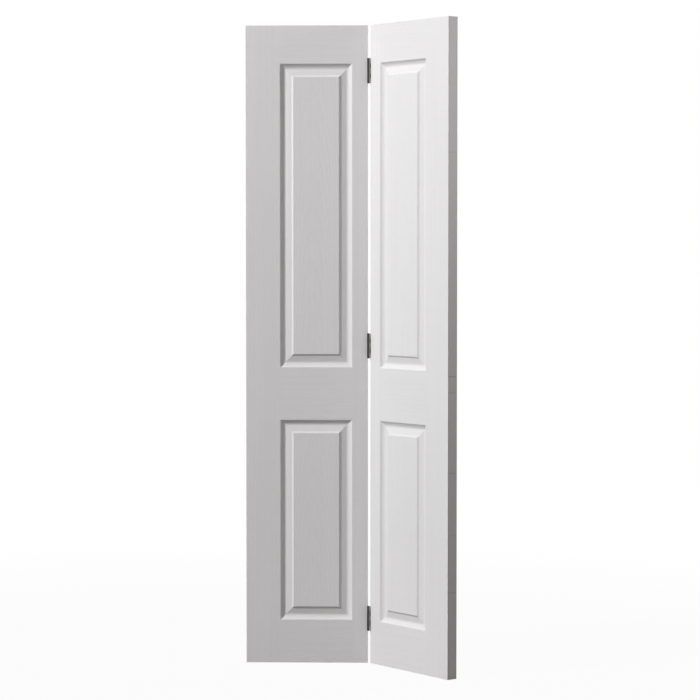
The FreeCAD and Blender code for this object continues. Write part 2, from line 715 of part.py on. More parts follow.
def make_hinge(hinge):
    """Both halves of a hinge, its pin and its screws."""
    make_plate(hinge, "fixed", "pivot", FIXED_KNUCKLES)
    make_plate(hinge, "swing", "lead", SWING_KNUCKLES)
    make_pin(hinge)
    make_screws(hinge, "fixed", "pivot")
    make_screws(hinge, "swing", "lead")


def check_document():
    """Stop if any object failed or any node is not a sound solid."""
    doc.recompute()
    for item in doc.Objects:
        if "Invalid" in item.State or "Error" in item.State:
            raise RuntimeError(f"{item.Name} failed: {item.State}")
    for item in nodes:
        shape = item.Shape
        if shape.isNull() or not shape.isValid() or not shape.Solids:
            raise RuntimeError(f"{item.Label} is not a valid solid")


def write_nodes():
    """Write each node to its own STEP file."""
    os.makedirs("parts", exist_ok=True)
    for item in nodes:
        item.Shape.exportStep(f"parts/{item.Label}.step")


fill_sheet()
make_leaf("pivot", ("top", "bottom"))
make_leaf("lead", ("top",))
make_cores()
for hinge_name in HINGES:
    make_hinge(hinge_name)
check_document()
write_nodes()
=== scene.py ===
"""A bifold closet door: two moulded hollow-core leaves that fold on three butt hinges.

Lengths are in metres. Each piece is drawn in the pin frame, whose origin is on the axis of the
hinge pins at the foot of the leaves. There x runs across the door when it is flat, y runs from
the pins into the thickness of the leaves, and z points up. The reach of a point is its distance
from the pins along a leaf. A finished piece is then set in the row frame by its mesh.
"""

import json
import logging
import math
from dataclasses import dataclass, field
from enum import Enum
from itertools import accumulate

import bmesh
import bpy
from mathutils import Matrix, Vector


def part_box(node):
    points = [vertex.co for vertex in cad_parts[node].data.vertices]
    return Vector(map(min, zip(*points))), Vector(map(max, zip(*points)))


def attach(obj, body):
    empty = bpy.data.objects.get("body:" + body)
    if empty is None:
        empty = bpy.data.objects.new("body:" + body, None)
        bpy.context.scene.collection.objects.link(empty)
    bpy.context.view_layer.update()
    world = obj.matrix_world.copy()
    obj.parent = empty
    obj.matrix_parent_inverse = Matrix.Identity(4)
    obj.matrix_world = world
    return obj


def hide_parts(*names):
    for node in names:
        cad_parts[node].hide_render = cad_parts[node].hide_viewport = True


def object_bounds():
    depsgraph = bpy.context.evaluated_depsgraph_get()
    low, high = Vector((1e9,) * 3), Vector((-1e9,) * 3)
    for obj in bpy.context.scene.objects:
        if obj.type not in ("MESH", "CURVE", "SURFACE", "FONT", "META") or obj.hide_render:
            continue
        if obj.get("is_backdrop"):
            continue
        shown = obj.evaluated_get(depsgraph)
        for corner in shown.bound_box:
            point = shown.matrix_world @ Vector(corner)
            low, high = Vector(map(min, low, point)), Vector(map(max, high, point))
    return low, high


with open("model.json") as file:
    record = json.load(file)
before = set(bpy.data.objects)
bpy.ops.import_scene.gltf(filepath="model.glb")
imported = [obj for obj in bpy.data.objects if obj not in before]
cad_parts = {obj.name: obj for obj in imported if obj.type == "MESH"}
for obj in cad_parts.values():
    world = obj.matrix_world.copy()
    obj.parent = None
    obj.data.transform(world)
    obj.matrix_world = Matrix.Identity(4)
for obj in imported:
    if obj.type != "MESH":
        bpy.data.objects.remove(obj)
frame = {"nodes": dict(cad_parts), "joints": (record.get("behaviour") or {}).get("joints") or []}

LOG = logging.getLogger("closet_door")
MILLIMETRE = 0.001
CLOSE = 0.00001
WHITE = (1.0, 1.0, 1.0)
FILL_COLOUR = (1.0, 0.90, 0.88)
Colour = tuple[float, float, float]
Point = tuple[float, float, float]
Pair = tuple[float, float]
Socket = bpy.types.NodeSocket
Material = bpy.types.Material
Mesh = bpy.types.Mesh
Vertex = bmesh.types.BMVert


class Hand(Enum):
    """The two leaves; the value is the side of the pins that the leaf lies on."""

    PIVOT = -1
    LEAD = 1

    @property
    def body(self) -> str:
        """Name of the body that the leaf rides on."""
        return f"{self.name.lower()}_leaf"

    def node(self, part: str) -> str:
        """Name of a node of this leaf."""
        return f"{self.name.lower()}_{part}"


class Face(Enum):
    """The two faces of a leaf; the value is the sign of y that points into the leaf."""

    FRONT = 1
    BACK = -1


class Grain(Enum):
    """Which way the grain of a piece of board or timber runs."""

    UPRIGHT = "z"
    LEVEL = "x"


# Places ---------------------------------------------------------------------------------------


@dataclass(frozen=True)
class Pins:
    """Where the hinge pins stand, and how far the lead leaf is folded about them.

    Attributes:
        x: Place of the pins along the pivot leaf.
        y: Place of the pins across the pivot leaf.
        fold: Angle between the leaves and the flat door, in radians.
    """

    x: float
    y: float
    fold: float

    @classmethod
    def from_joint(cls, joint: dict) -> "Pins":
        """Read where the pins are, and how far the leaves are folded at rest, from the fold joint."""
        x, y, _ = joint["pos_m"]
        return cls(x, y, math.radians(-joint["range_deg"][0]))

    def placing(self, hand: Hand, foot: float = 0.0) -> Matrix:
        """Matrix that sets a piece in the row frame.

        Args:
            hand: Leaf that the piece belongs to.
            foot: Height of the piece's own zero above the foot of the leaves.

        Returns:
            The move from the pin frame to the row frame.
        """
        move = Matrix.Translation((self.x, self.y, foot))
        if hand is Hand.LEAD:
            return move @ Matrix.Rotation(-self.fold, 4, "Z")
        return move


@dataclass(frozen=True)
class LeafBox:
    """Outside of a leaf in the pin frame.

    Attributes:
        near: Reach of the hinge edge.
        far: Reach of the outer edge.
        front: y of the front face.
        back: y of the back face.
        height: Height of the leaf.
    """

    near: float
    far: float
    front: float
    back: float
    height: float

    @classmethod
    def from_frame(cls, pins: Pins) -> "LeafBox":
        """Measure the pivot leaf, which lies square to the row frame.

        Args:
            pins: Place of the pins.

        Returns:
            The outside of that leaf, and so of its mirrored partner.
        """
        front_low, front_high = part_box("pivot_front_skin")
        back_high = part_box("pivot_back_skin")[1]
        return cls(
            near=pins.x - front_high.x,
            far=pins.x - front_low.x,
            front=front_low.y - pins.y,
            back=back_high.y - pins.y,
            height=front_high.z,
        )

    def surface(self, face: Face) -> float:
        """y of a face of the leaf."""
        return self.front if face is Face.FRONT else self.back


# Trees of nodes -------------------------------------------------------------------------------


class Tree:
    """Short calls for building a tree of nodes.

    Attributes:
        tree: The node tree.
    """

    def __init__(self, tree: bpy.types.NodeTree) -> None:
        """Take a node tree and empty it."""
        self.tree = tree
        tree.nodes.clear()

    def add(
        self, kind: str, settings: dict | None = None, *places: object, **inputs: object
    ) -> bpy.types.Node:
        """Add a node.

        Args:
            kind: Identifier of the node's type.
            settings: Properties of the node itself.
            *places: Values or sockets for its inputs, in order from the first.
            **inputs: Values or sockets for its inputs, by name with _ for a space.

        Returns:
            The new node.
        """
        node = self.tree.nodes.new(kind)
        for name, value in (settings or {}).items():
            setattr(node, name, value)
        for name, value in (*enumerate(places), *inputs.items()):
            self.feed(node, name, value)
        return node

    def result(
        self, kind: str, settings: dict | None = None, *places: object, **inputs: object
    ) -> Socket:
        """Add a node, in the way that add does, and give its first working output."""
        return next(out for out in self.add(kind, settings, *places, **inputs).outputs if out.enabled)

    def feed(self, node: bpy.types.Node, name: str | int, value: object) -> None:
        """Give an input of a node its value, or link a socket to it.

        Args:
            node: The node.
            name: Place of the input, or its name with _ for a space.
            value: A plain value, or the socket that feeds the input.
        """
        socket = node.inputs[name] if isinstance(name, int) else self.find(node.inputs, name)
        if isinstance(value, Socket):
            self.tree.links.new(value, socket)
        elif socket.type == "RGBA" and len(value) == 3:
            socket.default_value = (*value, 1.0)
        else:
            socket.default_value = value

    @staticmethod
    def find(sockets: bpy.types.NodeInputs, name: str) -> Socket:
        """Find the working socket of a name."""
        words = name.replace("_", " ").lower()
        return next(socket for socket in sockets if socket.enabled and socket.name.lower() == words)

    def sum_of(self, operation: str, *values: object, clamp: bool = False) -> Socket:
        """Work out a number from numbers or sockets, kept between 0 and 1 if it is to be clamped."""
        return self.result("ShaderNodeMath", {"operation": operation, "use_clamp": clamp}, *values)

    def vector_sum(self, operation: str, *values: object) -> Socket:
        """Work out a vector from vectors, or the number that the operation makes of them."""
        return self.result("ShaderNodeVectorMath", {"operation": operation}, *values)

    def weighed(self, base: object, *parts: tuple[object, float], clamp: bool = False) -> Socket:
        """Add numbers up, each times its weight.

        Args:
            base: Number or socket to start from.
            *parts: Pairs of a number or socket and its weight.
            clamp: Whether to keep the result between 0 and 1.

        Returns:
            The sum.
        """
        for count, (value, weight) in enumerate(parts, 1):
            last = count == len(parts)
            base = self.sum_of("MULTIPLY_ADD", value, weight, base, clamp=clamp and last)
        return base

    def vector(self, x: object = 0.0, y: object = 0.0, z: object = 0.0) -> Socket:
        """Join three numbers or sockets into a vector."""
        return self.result("ShaderNodeCombineXYZ", X=x, Y=y, Z=z)


class Shader(Tree):
    """A material's node tree.

    Attributes:
        material: The material.
    """

    def __init__(self, name: str) -> None:
        """Start an empty material.

        Args:
            name: Name of the material.
        """
        self.material = bpy.data.materials.new(name)
        self.material.use_nodes = True
        super().__init__(self.material.node_tree)

    def object_place(self, placing: Matrix | None = None) -> Socket:
        """Coordinates of the surface, in the row frame or in the frame a piece was drawn in.

        Args:
            placing: The move from the drawing frame to the row frame, a turn about z at most.

        Returns:
            The coordinates.
        """
        place = self.add("ShaderNodeTexCoord").outputs["Object"]
        if placing is None:
            return place
        back = placing.inverted()
        return self.result(
            "ShaderNodeMapping", {"vector_type": "POINT"}, Vector=place,
            Location=back.to_translation(), Rotation=back.to_euler(),
        )

    def split(self, place: Socket) -> list[Socket]:
        """The three numbers of a vector."""
        return list(self.add("ShaderNodeSeparateXYZ", Vector=place).outputs)

    def noise(self, place: Socket, scale: Point, detail: float = 2.0, rough: float = 0.5) -> Socket:
        """Cloudy noise between about 0 and 1; the scale is its clouds to a metre along each axis."""
        place = self.vector_sum("MULTIPLY", place, scale)
        return self.result("ShaderNodeTexNoise", Vector=place, Scale=1.0, Detail=detail, Roughness=rough)

    def between(self, value: object, low: float, high: float) -> Socket:
        """A number that eases from 0 where the value is low to 1 where it is high."""
        settings = {"interpolation_type": "SMOOTHSTEP"}
        return self.result("ShaderNodeMapRange", settings, Value=value, From_Min=low, From_Max=high)

    def swing(self, value: object, span: float, middle: float = 0.0) -> Socket:
        """A number that swings over a span about its middle as the value goes from 0 to 1."""
        return self.weighed(middle - span / 2, (value, span))

    def blend(self, share: object, first: object, second: object) -> Socket:
        """Mix two colours; the share is how much of the second there is."""
        return self.result("ShaderNodeMix", {"data_type": "RGBA"}, Factor=share, A=first, B=second)

    def bump(self, height: object, depth: float, under: Socket | None = None) -> Socket:
        """Normal of a relief from 0 to 1, that deep in metres, over the normal beneath it."""
        beneath = {} if under is None else {"Normal": under}
        return self.result("ShaderNodeBump", Strength=1.0, Distance=depth, Height=height, **beneath)

    def surface(self, **inputs: object) -> Material:
        """Close the tree with a principled surface, its inputs named as for add."""
        self.add("ShaderNodeOutputMaterial", Surface=self.result("ShaderNodeBsdfPrincipled", **inputs))
        return self.material


class Geometry(Tree):
    """A tree of Geometry Nodes with named inputs.

    Attributes:
        values: Value of each input, by the identifier of its socket.
        source: The node that gives the inputs.
    """

    KINDS = {
        float: "NodeSocketFloat",
        int: "NodeSocketInt",
        Material: "NodeSocketMaterial",
        bpy.types.Object: "NodeSocketObject",
    }

    def __init__(self, name: str, **inputs: object) -> None:
        """Start a tree.

        Args:
            name: Name of the tree.
            **inputs: Value of each input, by its name with _ for a space.
        """
        super().__init__(bpy.data.node_groups.new(name, "GeometryNodeTree"))
        self.values = {}
        for key, value in inputs.items():
            label = key.replace("_", " ").title()
            kind = self.KINDS[type(value)]
            item = self.tree.interface.new_socket(label, in_out="INPUT", socket_type=kind)
            self.values[item.identifier] = value
        self.tree.interface.new_socket("Geometry", in_out="OUTPUT", socket_type="NodeSocketGeometry")
        self.source = self.add("NodeGroupInput")

    def given(self, name: str) -> Socket:
        """The socket that gives an input."""
        return self.source.outputs[name]

    def close(self, shape: Socket) -> None:
        """End the tree with plain geometry in its finish.

        Args:
            shape: The geometry, instances among it.
        """
        whole = self.result("GeometryNodeRealizeInstances", Geometry=shape)
        coated = self.result("GeometryNodeSetMaterial", Geometry=whole, Material=self.given("Finish"))
        self.add("NodeGroupOutput", Geometry=coated)

    def grow(self) -> Mesh:
        """Run the tree on an empty mesh.

        Returns:
            The plain mesh that it makes.
        """
        name = self.tree.name
        holder = bpy.data.objects.new(name, bpy.data.meshes.new(name))
        bpy.context.scene.collection.objects.link(holder)
        modifier = holder.modifiers.new(name, "NODES")
        modifier.node_group = self.tree
        for identifier, value in self.values.items():
            modifier[identifier] = value
        return settle(holder)


# Meshes ---------------------------------------------------------------------------------------


def settle(holder: bpy.types.Object) -> Mesh:
    """Apply an object's modifiers and remove the object.

    Args:
        holder: A linked object that only holds the mesh while it is made.

    Returns:
        The finished mesh.
    """
    graph = bpy.context.evaluated_depsgraph_get()
    mesh = bpy.data.meshes.new_from_object(holder.evaluated_get(graph), depsgraph=graph)
    holder.modifiers.clear()
    bpy.data.objects.remove(holder)
    return mesh


def as_mesh(work: bmesh.types.BMesh, name: str) -> Mesh:
    """Write a bmesh into a new mesh and free it.

    Args:
        work: The bmesh.
        name: Name of the mesh.

    Returns:
        The mesh.
    """
    mesh = bpy.data.meshes.new(name)
    work.to_mesh(mesh)
    work.free()
    return mesh


def joined(name: str, meshes: list[Mesh]) -> Mesh:
    """Join meshes of one finish.

    Args:
        name: Name of the new mesh.
        meshes: The meshes.

    Returns:
        One mesh that holds them all.
    """
    work = bmesh.new()
    for mesh in meshes:
        work.from_mesh(mesh)
    return as_mesh(work, name)


def carved(blank: Mesh, cutter: Mesh) -> Mesh:
    """Cut one small mesh from another, worked in millimetres so that the cut is exact.

    Args:
        blank: The mesh to cut.
        cutter: What to take away.

    Returns:
        The cut mesh.
    """
    holders = []
    for mesh in (blank, cutter):
        mesh.transform(Matrix.Scale(1 / MILLIMETRE, 4))
        holder = bpy.data.objects.new(mesh.name, mesh)
        bpy.context.scene.collection.objects.link(holder)
        holders.append(holder)
    cut = holders[0].modifiers.new("cut", "BOOLEAN")
    cut.operation = "DIFFERENCE"
    cut.solver = "EXACT"
    cut.object = holders[1]
    mesh = settle(holders[0])
    bpy.data.objects.remove(holders[1])
    mesh.transform(Matrix.Scale(MILLIMETRE, 4))
    return mesh


def outward(work: bmesh.types.BMesh) -> None:
    """Turn the faces of a closed mesh, which already agree, outwards if they all point inwards."""
    if work.calc_volume(signed=True) < 0:
        bmesh.ops.reverse_faces(work, faces=work.faces[:])


def walled(work: bmesh.types.BMesh, rings: list[list[Vertex]]) -> None:
    """Close a shell over rings of vertices, with its faces outwards.

    Args:
        work: The mesh in the making.
        rings: The rings from end to end, each of as many vertices. One that repeats a single
            vertex is a point, and needs no cap.
    """
    for first, second in zip(rings, rings[1:]):
        for step in range(len(first)):
            after = (step + 1) % len(first)
            work.faces.new(dict.fromkeys((first[step], first[after], second[after], second[step])))
    for cap in (rings[0][::-1], rings[-1]):
        if len(set(cap)) > 1:
            work.faces.new(cap)
    outward(work)


def turned(name: str, outline: list[tuple[float, float | list[float]]], steps: int) -> Mesh:
    """Turn an outline about the x axis.

    Args:
        name: Name of the mesh.
        outline: Places along the axis, from end to end, each with its radius or with one radius
            for every step round the axis.
        steps: Number of faces round the axis.

    Returns:
        A closed mesh whose faces point outwards.
    """
    work = bmesh.new()
    rings = []
    turns = [math.tau * step / steps for step in range(steps)]
    for along, radius in outline:
        radii = radius if isinstance(radius, list) else [radius] * steps
        if any(radii):
            around = [(along, r * math.cos(turn), r * math.sin(turn)) for r, turn in zip(radii, turns)]
            rings.append([work.verts.new(place) for place in around])
        else:
            rings.append([work.verts.new((along, 0, 0))] * steps)
    walled(work, rings)
    return as_mesh(work, name)


def smoothed(mesh: Mesh, crease: float) -> None:
    """Shade a mesh smooth, but keep the edges sharp that turn by more than a crease in degrees."""
    mesh.shade_smooth()
    mesh.set_sharp_from_angle(angle=math.radians(crease))


def finished(
    name: str, mesh: Mesh, placing: Matrix, body: str, slot: str, node: str, *finishes: Material
) -> None:
    """Set a piece in the row frame and hand it over: it rides on its body and stands for its node.

    Args:
        name: Name of the piece.
        mesh: Its mesh as drawn.
        placing: The move from the drawing frame to the row frame.
        body: Body that it rides on.
        slot: Material slot that its finish belongs to; not used.
        node: Node that it stands for.
        *finishes: Its materials.
    """
    mesh.transform(placing)
    mesh.materials.clear()
    for material in finishes:
        mesh.materials.append(material)
    piece = bpy.data.objects.new(name, mesh)
    bpy.context.scene.collection.objects.link(piece)
    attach(piece, body)
    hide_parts(node)
    LOG.info("%s: %d faces, rides on %s", name, len(mesh.polygons), body)


def dressed(node: str, finish: Material) -> None:
    """Give a carried-over node its finish.

    Args:
        node: Name of the node.
        finish: The material.
    """
    piece = frame["nodes"][node]
    if not piece.material_slots:
        piece.data.materials.append(finish)
    for place in piece.material_slots:
        place.material = finish
    LOG.info("%s: dressed in %s", node, finish.name)


# Finishes -------------------------------------------------------------------------------------


def darker(colour: Colour, share: float) -> Colour:
    """The share of a colour that is left in its shade."""
    return tuple(share * part for part in colour)


@dataclass(frozen=True)
class PrimedBoard:
    """White primer on moulded fibreboard that is embossed with wood grain.

    The UV map named grain holds the distance across the grain from the heart of the plank, and
    the distance along the grain, both in metres.

    Attributes:
        colour: Colour of the primer.
        pore_colour: Colour in the bottom of the embossed pores.
        roughness: Roughness of the primer.
        patchiness: How much its roughness varies.
        gloss: How much the primer mirrors.
        ring_spread: How fast the rings close up away from the heart, in rings a square metre.
        ring_count: Most rings that a metre across the grain crosses.
        ring_rise: Rings that a metre along the heart crosses.
        wander: How far the rings wander to the side.
        raggedness: How far their lines fray.
        emboss: Depth of the embossing.
        late_depth: Share of that depth that the late wood of a ring has.
        pore_depth: Share of it that the pores have.
        stipple: Depth of the texture that the roller leaves in the primer.
        clouds: How much wide clouds darken the primer.
        streaks: How much long streaks of the grain darken it.
        pores: How much the pores darken it.
    """

    colour: Colour = (0.712, 0.708, 0.711)
    pore_colour: Colour = (0.61, 0.60, 0.60)
    roughness: float = 0.60
    patchiness: float = 0.14
    gloss: float = 0.2
    ring_spread: float = 1500.0
    ring_count: float = 230.0
    ring_rise: float = 11.0
    wander: float = 0.030
    raggedness: float = 0.0022
    emboss: float = 0.00022
    late_depth: float = 0.45
    pore_depth: float = 0.55
    stipple: float = 0.00003
    clouds: float = 0.10
    streaks: float = 0.13
    pores: float = 0.30

    def material(self) -> Material:
        """Build the material.

        Returns:
            The finished material.
        """
        shader = Shader("primed_board")
        place = shader.result("ShaderNodeUVMap", {"uv_map": "grain"})
        across, along, _ = shader.split(place)
        drift = shader.swing(shader.noise(place, (7.0, 1.3, 0.0), detail=3.0), self.wander)
        ragged = shader.swing(shader.noise(place, (260.0, 9.0, 0.0)), self.raggedness)
        heart = shader.sum_of("ADD", shader.sum_of("ADD", across, drift), ragged)
        even = shader.weighed(1.0, (shader.sum_of("ABSOLUTE", heart), self.ring_spread / self.ring_count))
        rings = shader.sum_of("MULTIPLY", shader.sum_of("MULTIPLY", heart, heart), self.ring_spread)
        rings = shader.weighed(shader.sum_of("DIVIDE", rings, even), (along, self.ring_rise))
        ring = shader.sum_of("FRACT", rings)
        late = shader.sum_of("MULTIPLY", shader.between(ring, 0.28, 0.62), shader.between(ring, 1.0, 0.70))
        pores = shader.between(shader.noise(place, (1300.0, 42.0, 0.0), detail=1.0), 0.56, 0.66)
        ticks = shader.sum_of("MULTIPLY", pores, shader.weighed(0.2, (late, 0.8)))
        relief = shader.weighed(1.0, (late, -self.late_depth), (ticks, -self.pore_depth))
        roller = shader.noise(place, (520.0, 520.0, 0.0))
        cloud = shader.between(shader.noise(place, (5.0, 2.5, 0.0), detail=3.0), 0.35, 0.7)
        streak = shader.between(shader.noise(place, (130.0, 1.1, 0.0)), 0.40, 0.62)
        stains = (cloud, self.clouds), (streak, self.streaks), (ticks, self.pores)
        shade = shader.weighed(0.0, *stains, clamp=True)
        return shader.surface(
            Base_Color=shader.blend(shade, self.colour, self.pore_colour),
            Roughness=shader.swing(roller, self.patchiness, self.roughness),
            Specular_IOR_Level=self.gloss,
            Normal=shader.bump(roller, self.stipple, shader.bump(relief, self.emboss)),
        )


@dataclass(frozen=True)
class CutBoard:
    """Sawn edge and inside of the moulded fibreboard, thinly covered by the primer.

    Attributes:
        colour: Colour of the pressed fibres.
        dust: Colour where overspray of primer lies on them.
        roughness: Roughness of the fibres.
        relief: How far they stand up.
    """

    colour: Colour = (0.36, 0.30, 0.25)
    dust: Colour = (0.62, 0.60, 0.57)
    roughness: float = 0.85
    relief: float = 0.0001

    def material(self) -> Material:
        """Build the material.

        Returns:
            The finished material.
        """
        shader = Shader("cut_board")
        place = shader.object_place()
        fibres = shader.noise(place, (900.0, 900.0, 350.0), detail=4.0, rough=0.65)
        cover = shader.between(shader.noise(place, (60.0, 60.0, 14.0), detail=3.0), 0.30, 0.62)
        board = shader.blend(fibres, darker(self.colour, 0.7), self.colour)
        return shader.surface(
            Base_Color=shader.blend(cover, board, self.dust),
            Roughness=self.roughness,
            Normal=shader.bump(fibres, self.relief),
        )


@dataclass(frozen=True)
class Timber:
    """Finger-jointed pine, bare inside the leaf and primed on the edges that show.

    Attributes:
        early: Colour of the soft wood of a ring.
        late: Colour of its hard line.
        primer: Colour of the primed edges.
        film: Depth to which the primer reaches.
        ring_width: Distance between the rings.
        flow: How far the rings flow to the side.
        swap: How far the heart moves from one length of timber to the next.
        roughness: Roughness of the bare wood.
        primer_gloss: How much smoother the primer is.
        relief: Depth of the grain and of the joints.
        joints: Heights at which lengths of a stile are joined end to end, and how far each shows.
        joint_width: Width of the band that such a joint leaves.
    """

    early: Colour = (0.66, 0.47, 0.28)
    late: Colour = (0.40, 0.23, 0.11)
    primer: Colour = (0.76, 0.755, 0.75)
    film: float = 0.0004
    ring_width: float = 0.0036
    flow: float = 0.012
    swap: float = 0.02
    roughness: float = 0.80
    primer_gloss: float = 0.25
    relief: float = 0.00022
    joints: tuple[Pair, ...] = (
        (0.2610, 0.7), (0.433, 0.3), (0.6205, 0.75), (0.8625, 0.5),
        (0.9100, 1.0), (1.297, 0.15), (1.579, 0.25), (1.780, 0.1),
    )
    joint_width: float = 0.0085

    def material(self, name: str, placing: Matrix, box: LeafBox, grain: Grain, heart: Point) -> Material:
        """Build the material of one timber.

        Args:
            name: Name of the material.
            placing: The move from the pin frame to the row frame.
            box: Outside of the leaf.
            grain: Which way the timber runs.
            heart: A point on the heart of the tree that it was sawn from, in the pin frame.

        Returns:
            The finished material.
        """
        shader = Shader(name)
        place = shader.object_place(placing)
        x, y, z = shader.split(place)
        upright = grain is Grain.UPRIGHT
        along, aside, heart_aside = (z, x, heart[0]) if upright else (x, z, heart[2])
        lengths = self.count_joints(shader, z) if upright else z
        swap = shader.sum_of("SINE", shader.sum_of("MULTIPLY", lengths, 37.0))
        aside = shader.weighed(shader.sum_of("SUBTRACT", aside, heart_aside), (swap, self.swap))
        depth = shader.sum_of("SUBTRACT", y, heart[1])
        flow = shader.noise(shader.vector(aside, 0.0, along), (14.0, 0.0, 2.2), detail=3.0)
        radius = shader.weighed(shader.vector_sum("LENGTH", shader.vector(aside, depth)), (flow, self.flow))
        ring = shader.sum_of("FRACT", shader.sum_of("DIVIDE", radius, self.ring_width))
        ring = shader.sum_of("MULTIPLY", shader.between(ring, 0.3, 0.9), shader.between(ring, 1.0, 0.93))
        scale = (700.0, 700.0, 18.0) if upright else (18.0, 700.0, 700.0)
        fibres = shader.noise(place, scale, detail=3.0, rough=0.6)
        tone = shader.weighed(0.0, (ring, 0.7), (fibres, 0.35), clamp=True)
        seam = self.joint_bands(shader, z) if upright else 0.0
        worn = shader.weighed(0.0, (seam, 0.75), (fibres, 0.10), clamp=True)
        wood = shader.blend(tone, self.early, self.late)
        primer = shader.blend(worn, self.primer, darker(self.primer, 0.72))
        cover = self.primed_edges(shader, x, box)
        relief = shader.weighed(0.0, (seam, -0.65), (fibres, 0.35), (ring, -0.12))
        return shader.surface(
            Base_Color=shader.blend(cover, wood, primer),
            Roughness=shader.weighed(self.roughness, (cover, -self.primer_gloss)),
            Normal=shader.bump(relief, self.relief),
        )

    def count_joints(self, shader: Shader, height: Socket) -> Socket:
        """Count the joints below a height, which tells the lengths of timber apart.

        Args:
            shader: The material's tree.
            height: The height.

        Returns:
            The count.
        """
        count = 0.0
        for joint, _ in self.joints:
            count = shader.sum_of("ADD", count, shader.sum_of("GREATER_THAN", height, joint))
        return count

    def joint_bands(self, shader: Shader, height: Socket) -> Socket:
        """Draw the soft bands that the joints leave across the edge of a stile.

        Args:
            shader: The material's tree.
            height: The height.

        Returns:
            Up to 1 in a band and 0 elsewhere.
        """
        bands = 0.0
        for joint, strength in self.joints:
            away = shader.sum_of("ABSOLUTE", shader.sum_of("SUBTRACT", height, joint))
            band = shader.between(away, self.joint_width / 2, 0.0)
            bands = shader.sum_of("MAXIMUM", bands, shader.sum_of("MULTIPLY", band, strength))
        return bands

    def primed_edges(self, shader: Shader, x: Socket, box: LeafBox) -> Socket:
        """Find the two long edges of a leaf, where the primer is.

        Args:
            shader: The material's tree.
            x: Place across the flat door.
            box: Outside of the leaf.

        Returns:
            1 on the primer and 0 on bare wood.
        """
        reach = shader.sum_of("ABSOLUTE", x)
        outer = shader.sum_of("GREATER_THAN", reach, box.far - self.film)
        return shader.sum_of("MAXIMUM", outer, shader.sum_of("LESS_THAN", reach, box.near + self.film))


@dataclass(frozen=True)
class Kraft:
    """Brown kraft paper of the honeycomb.

    Attributes:
        colour: Colour of the paper.
        fleck: Colour of its dark fibres.
        roughness: Roughness of the paper.
        relief: How far its fibres stand up.
    """

    colour: Colour = (0.46, 0.31, 0.18)
    fleck: Colour = (0.25, 0.15, 0.08)
    roughness: float = 0.9
    relief: float = 0.00005

    def material(self) -> Material:
        """Build the material.

        Returns:
            The finished material.
        """
        shader = Shader("kraft_paper")
        place = shader.object_place()
        cloud = shader.noise(place, (90.0, 90.0, 90.0), detail=4.0)
        fibres = shader.noise(place, (1400.0, 400.0, 1400.0), detail=3.0, rough=0.7)
        shade = shader.weighed(0.0, (cloud, 0.3), (shader.between(fibres, 0.52, 0.75), 0.6), clamp=True)
        return shader.surface(
            Base_Color=shader.blend(shade, self.colour, self.fleck),
            Roughness=self.roughness,
            Normal=shader.bump(fibres, self.relief),
        )


class Plating(Enum):
    """How a metal part is finished."""

    BRONZE = "bronze"
    PIN = "pin"
    STEEL = "steel"
    ZINC = "zinc"


@dataclass(frozen=True)
class Metal:
    """A plated or lacquered metal, a little worn where it is touched.

    A barrel carries a painted highlight: a bright line down the side that faces front, drawn in the worn
    colour.

    Attributes:
        plating: Which finish it is.
        colour: Colour of the finish.
        worn: Colour where it is worn, also the colour of the painted highlight line.
        roughness: Roughness of the finish.
        edge_tint: Colour of its reflections at a glancing angle.
        rubbed_line: How far along the next direction the painted highlight line starts and is strongest.
        rubbed_facing: Direction that the painted highlight line faces.
        brush: Scale of the fine scratches along each axis; where it is small they are drawn out.
        scratch_depth: Depth of the scratches.
        patchiness: How much they vary the roughness.
    """

    plating: Plating
    colour: Colour
    worn: Colour
    roughness: float
    edge_tint: Colour = WHITE
    rubbed_line: Pair | None = None
    rubbed_facing: Point = (0.5446, -0.8387, 0.0)
    brush: Point = (900.0, 900.0, 60.0)
    scratch_depth: float = 0.00002
    patchiness: float = 0.18

    def material(self) -> Material:
        """Build the material.

        Returns:
            The finished material.
        """
        shader = Shader(f"{self.plating.value}_finish")
        place = shader.object_place()
        scratches = shader.noise(place, self.brush, detail=3.0, rough=0.6)
        cloud = shader.noise(place, (160.0, 160.0, 160.0), detail=4.0, rough=0.6)
        edge = shader.between(shader.add("ShaderNodeNewGeometry").outputs["Pointiness"], 0.60, 0.72)
        wear_and_painted_highlight = shader.sum_of("MULTIPLY", edge, shader.between(cloud, 0.38, 0.6))
        # Painted highlight: a bright stripe down the front of a barrel, added to the real edge wear.
        if self.rubbed_line:
            facing = shader.vector_sum("DOT_PRODUCT", place, self.rubbed_facing)
            wear_and_painted_highlight = shader.sum_of("MAXIMUM", wear_and_painted_highlight, shader.between(facing, *self.rubbed_line))
        shade = shader.weighed(0.0, (cloud, 0.12), (wear_and_painted_highlight, 0.7), clamp=True)
        return shader.surface(
            Base_Color=shader.blend(shade, self.colour, self.worn),
            Metallic=1.0,
            Roughness=shader.swing(scratches, self.patchiness, self.roughness),
            Specular_Tint=self.edge_tint,
            Normal=shader.bump(scratches, self.scratch_depth),
        )


# The bronze's bright line is a painted highlight down the front of each barrel.
BRONZE = Metal(
    Plating.BRONZE, (0.018, 0.016, 0.014), (0.34, 0.315, 0.29), 0.42,
    edge_tint=(0.15, 0.14, 0.13), rubbed_line=(0.22010, 0.22036),
)
PIN = Metal(Plating.PIN, (0.060, 0.052, 0.046), (0.24, 0.20, 0.16), 0.34)
STEEL = Metal(Plating.STEEL, (0.44, 0.42, 0.40), (0.62, 0.61, 0.60), 0.32)
ZINC = Metal(Plating.ZINC, (0.55, 0.56, 0.57), (0.72, 0.72, 0.72), 0.45)


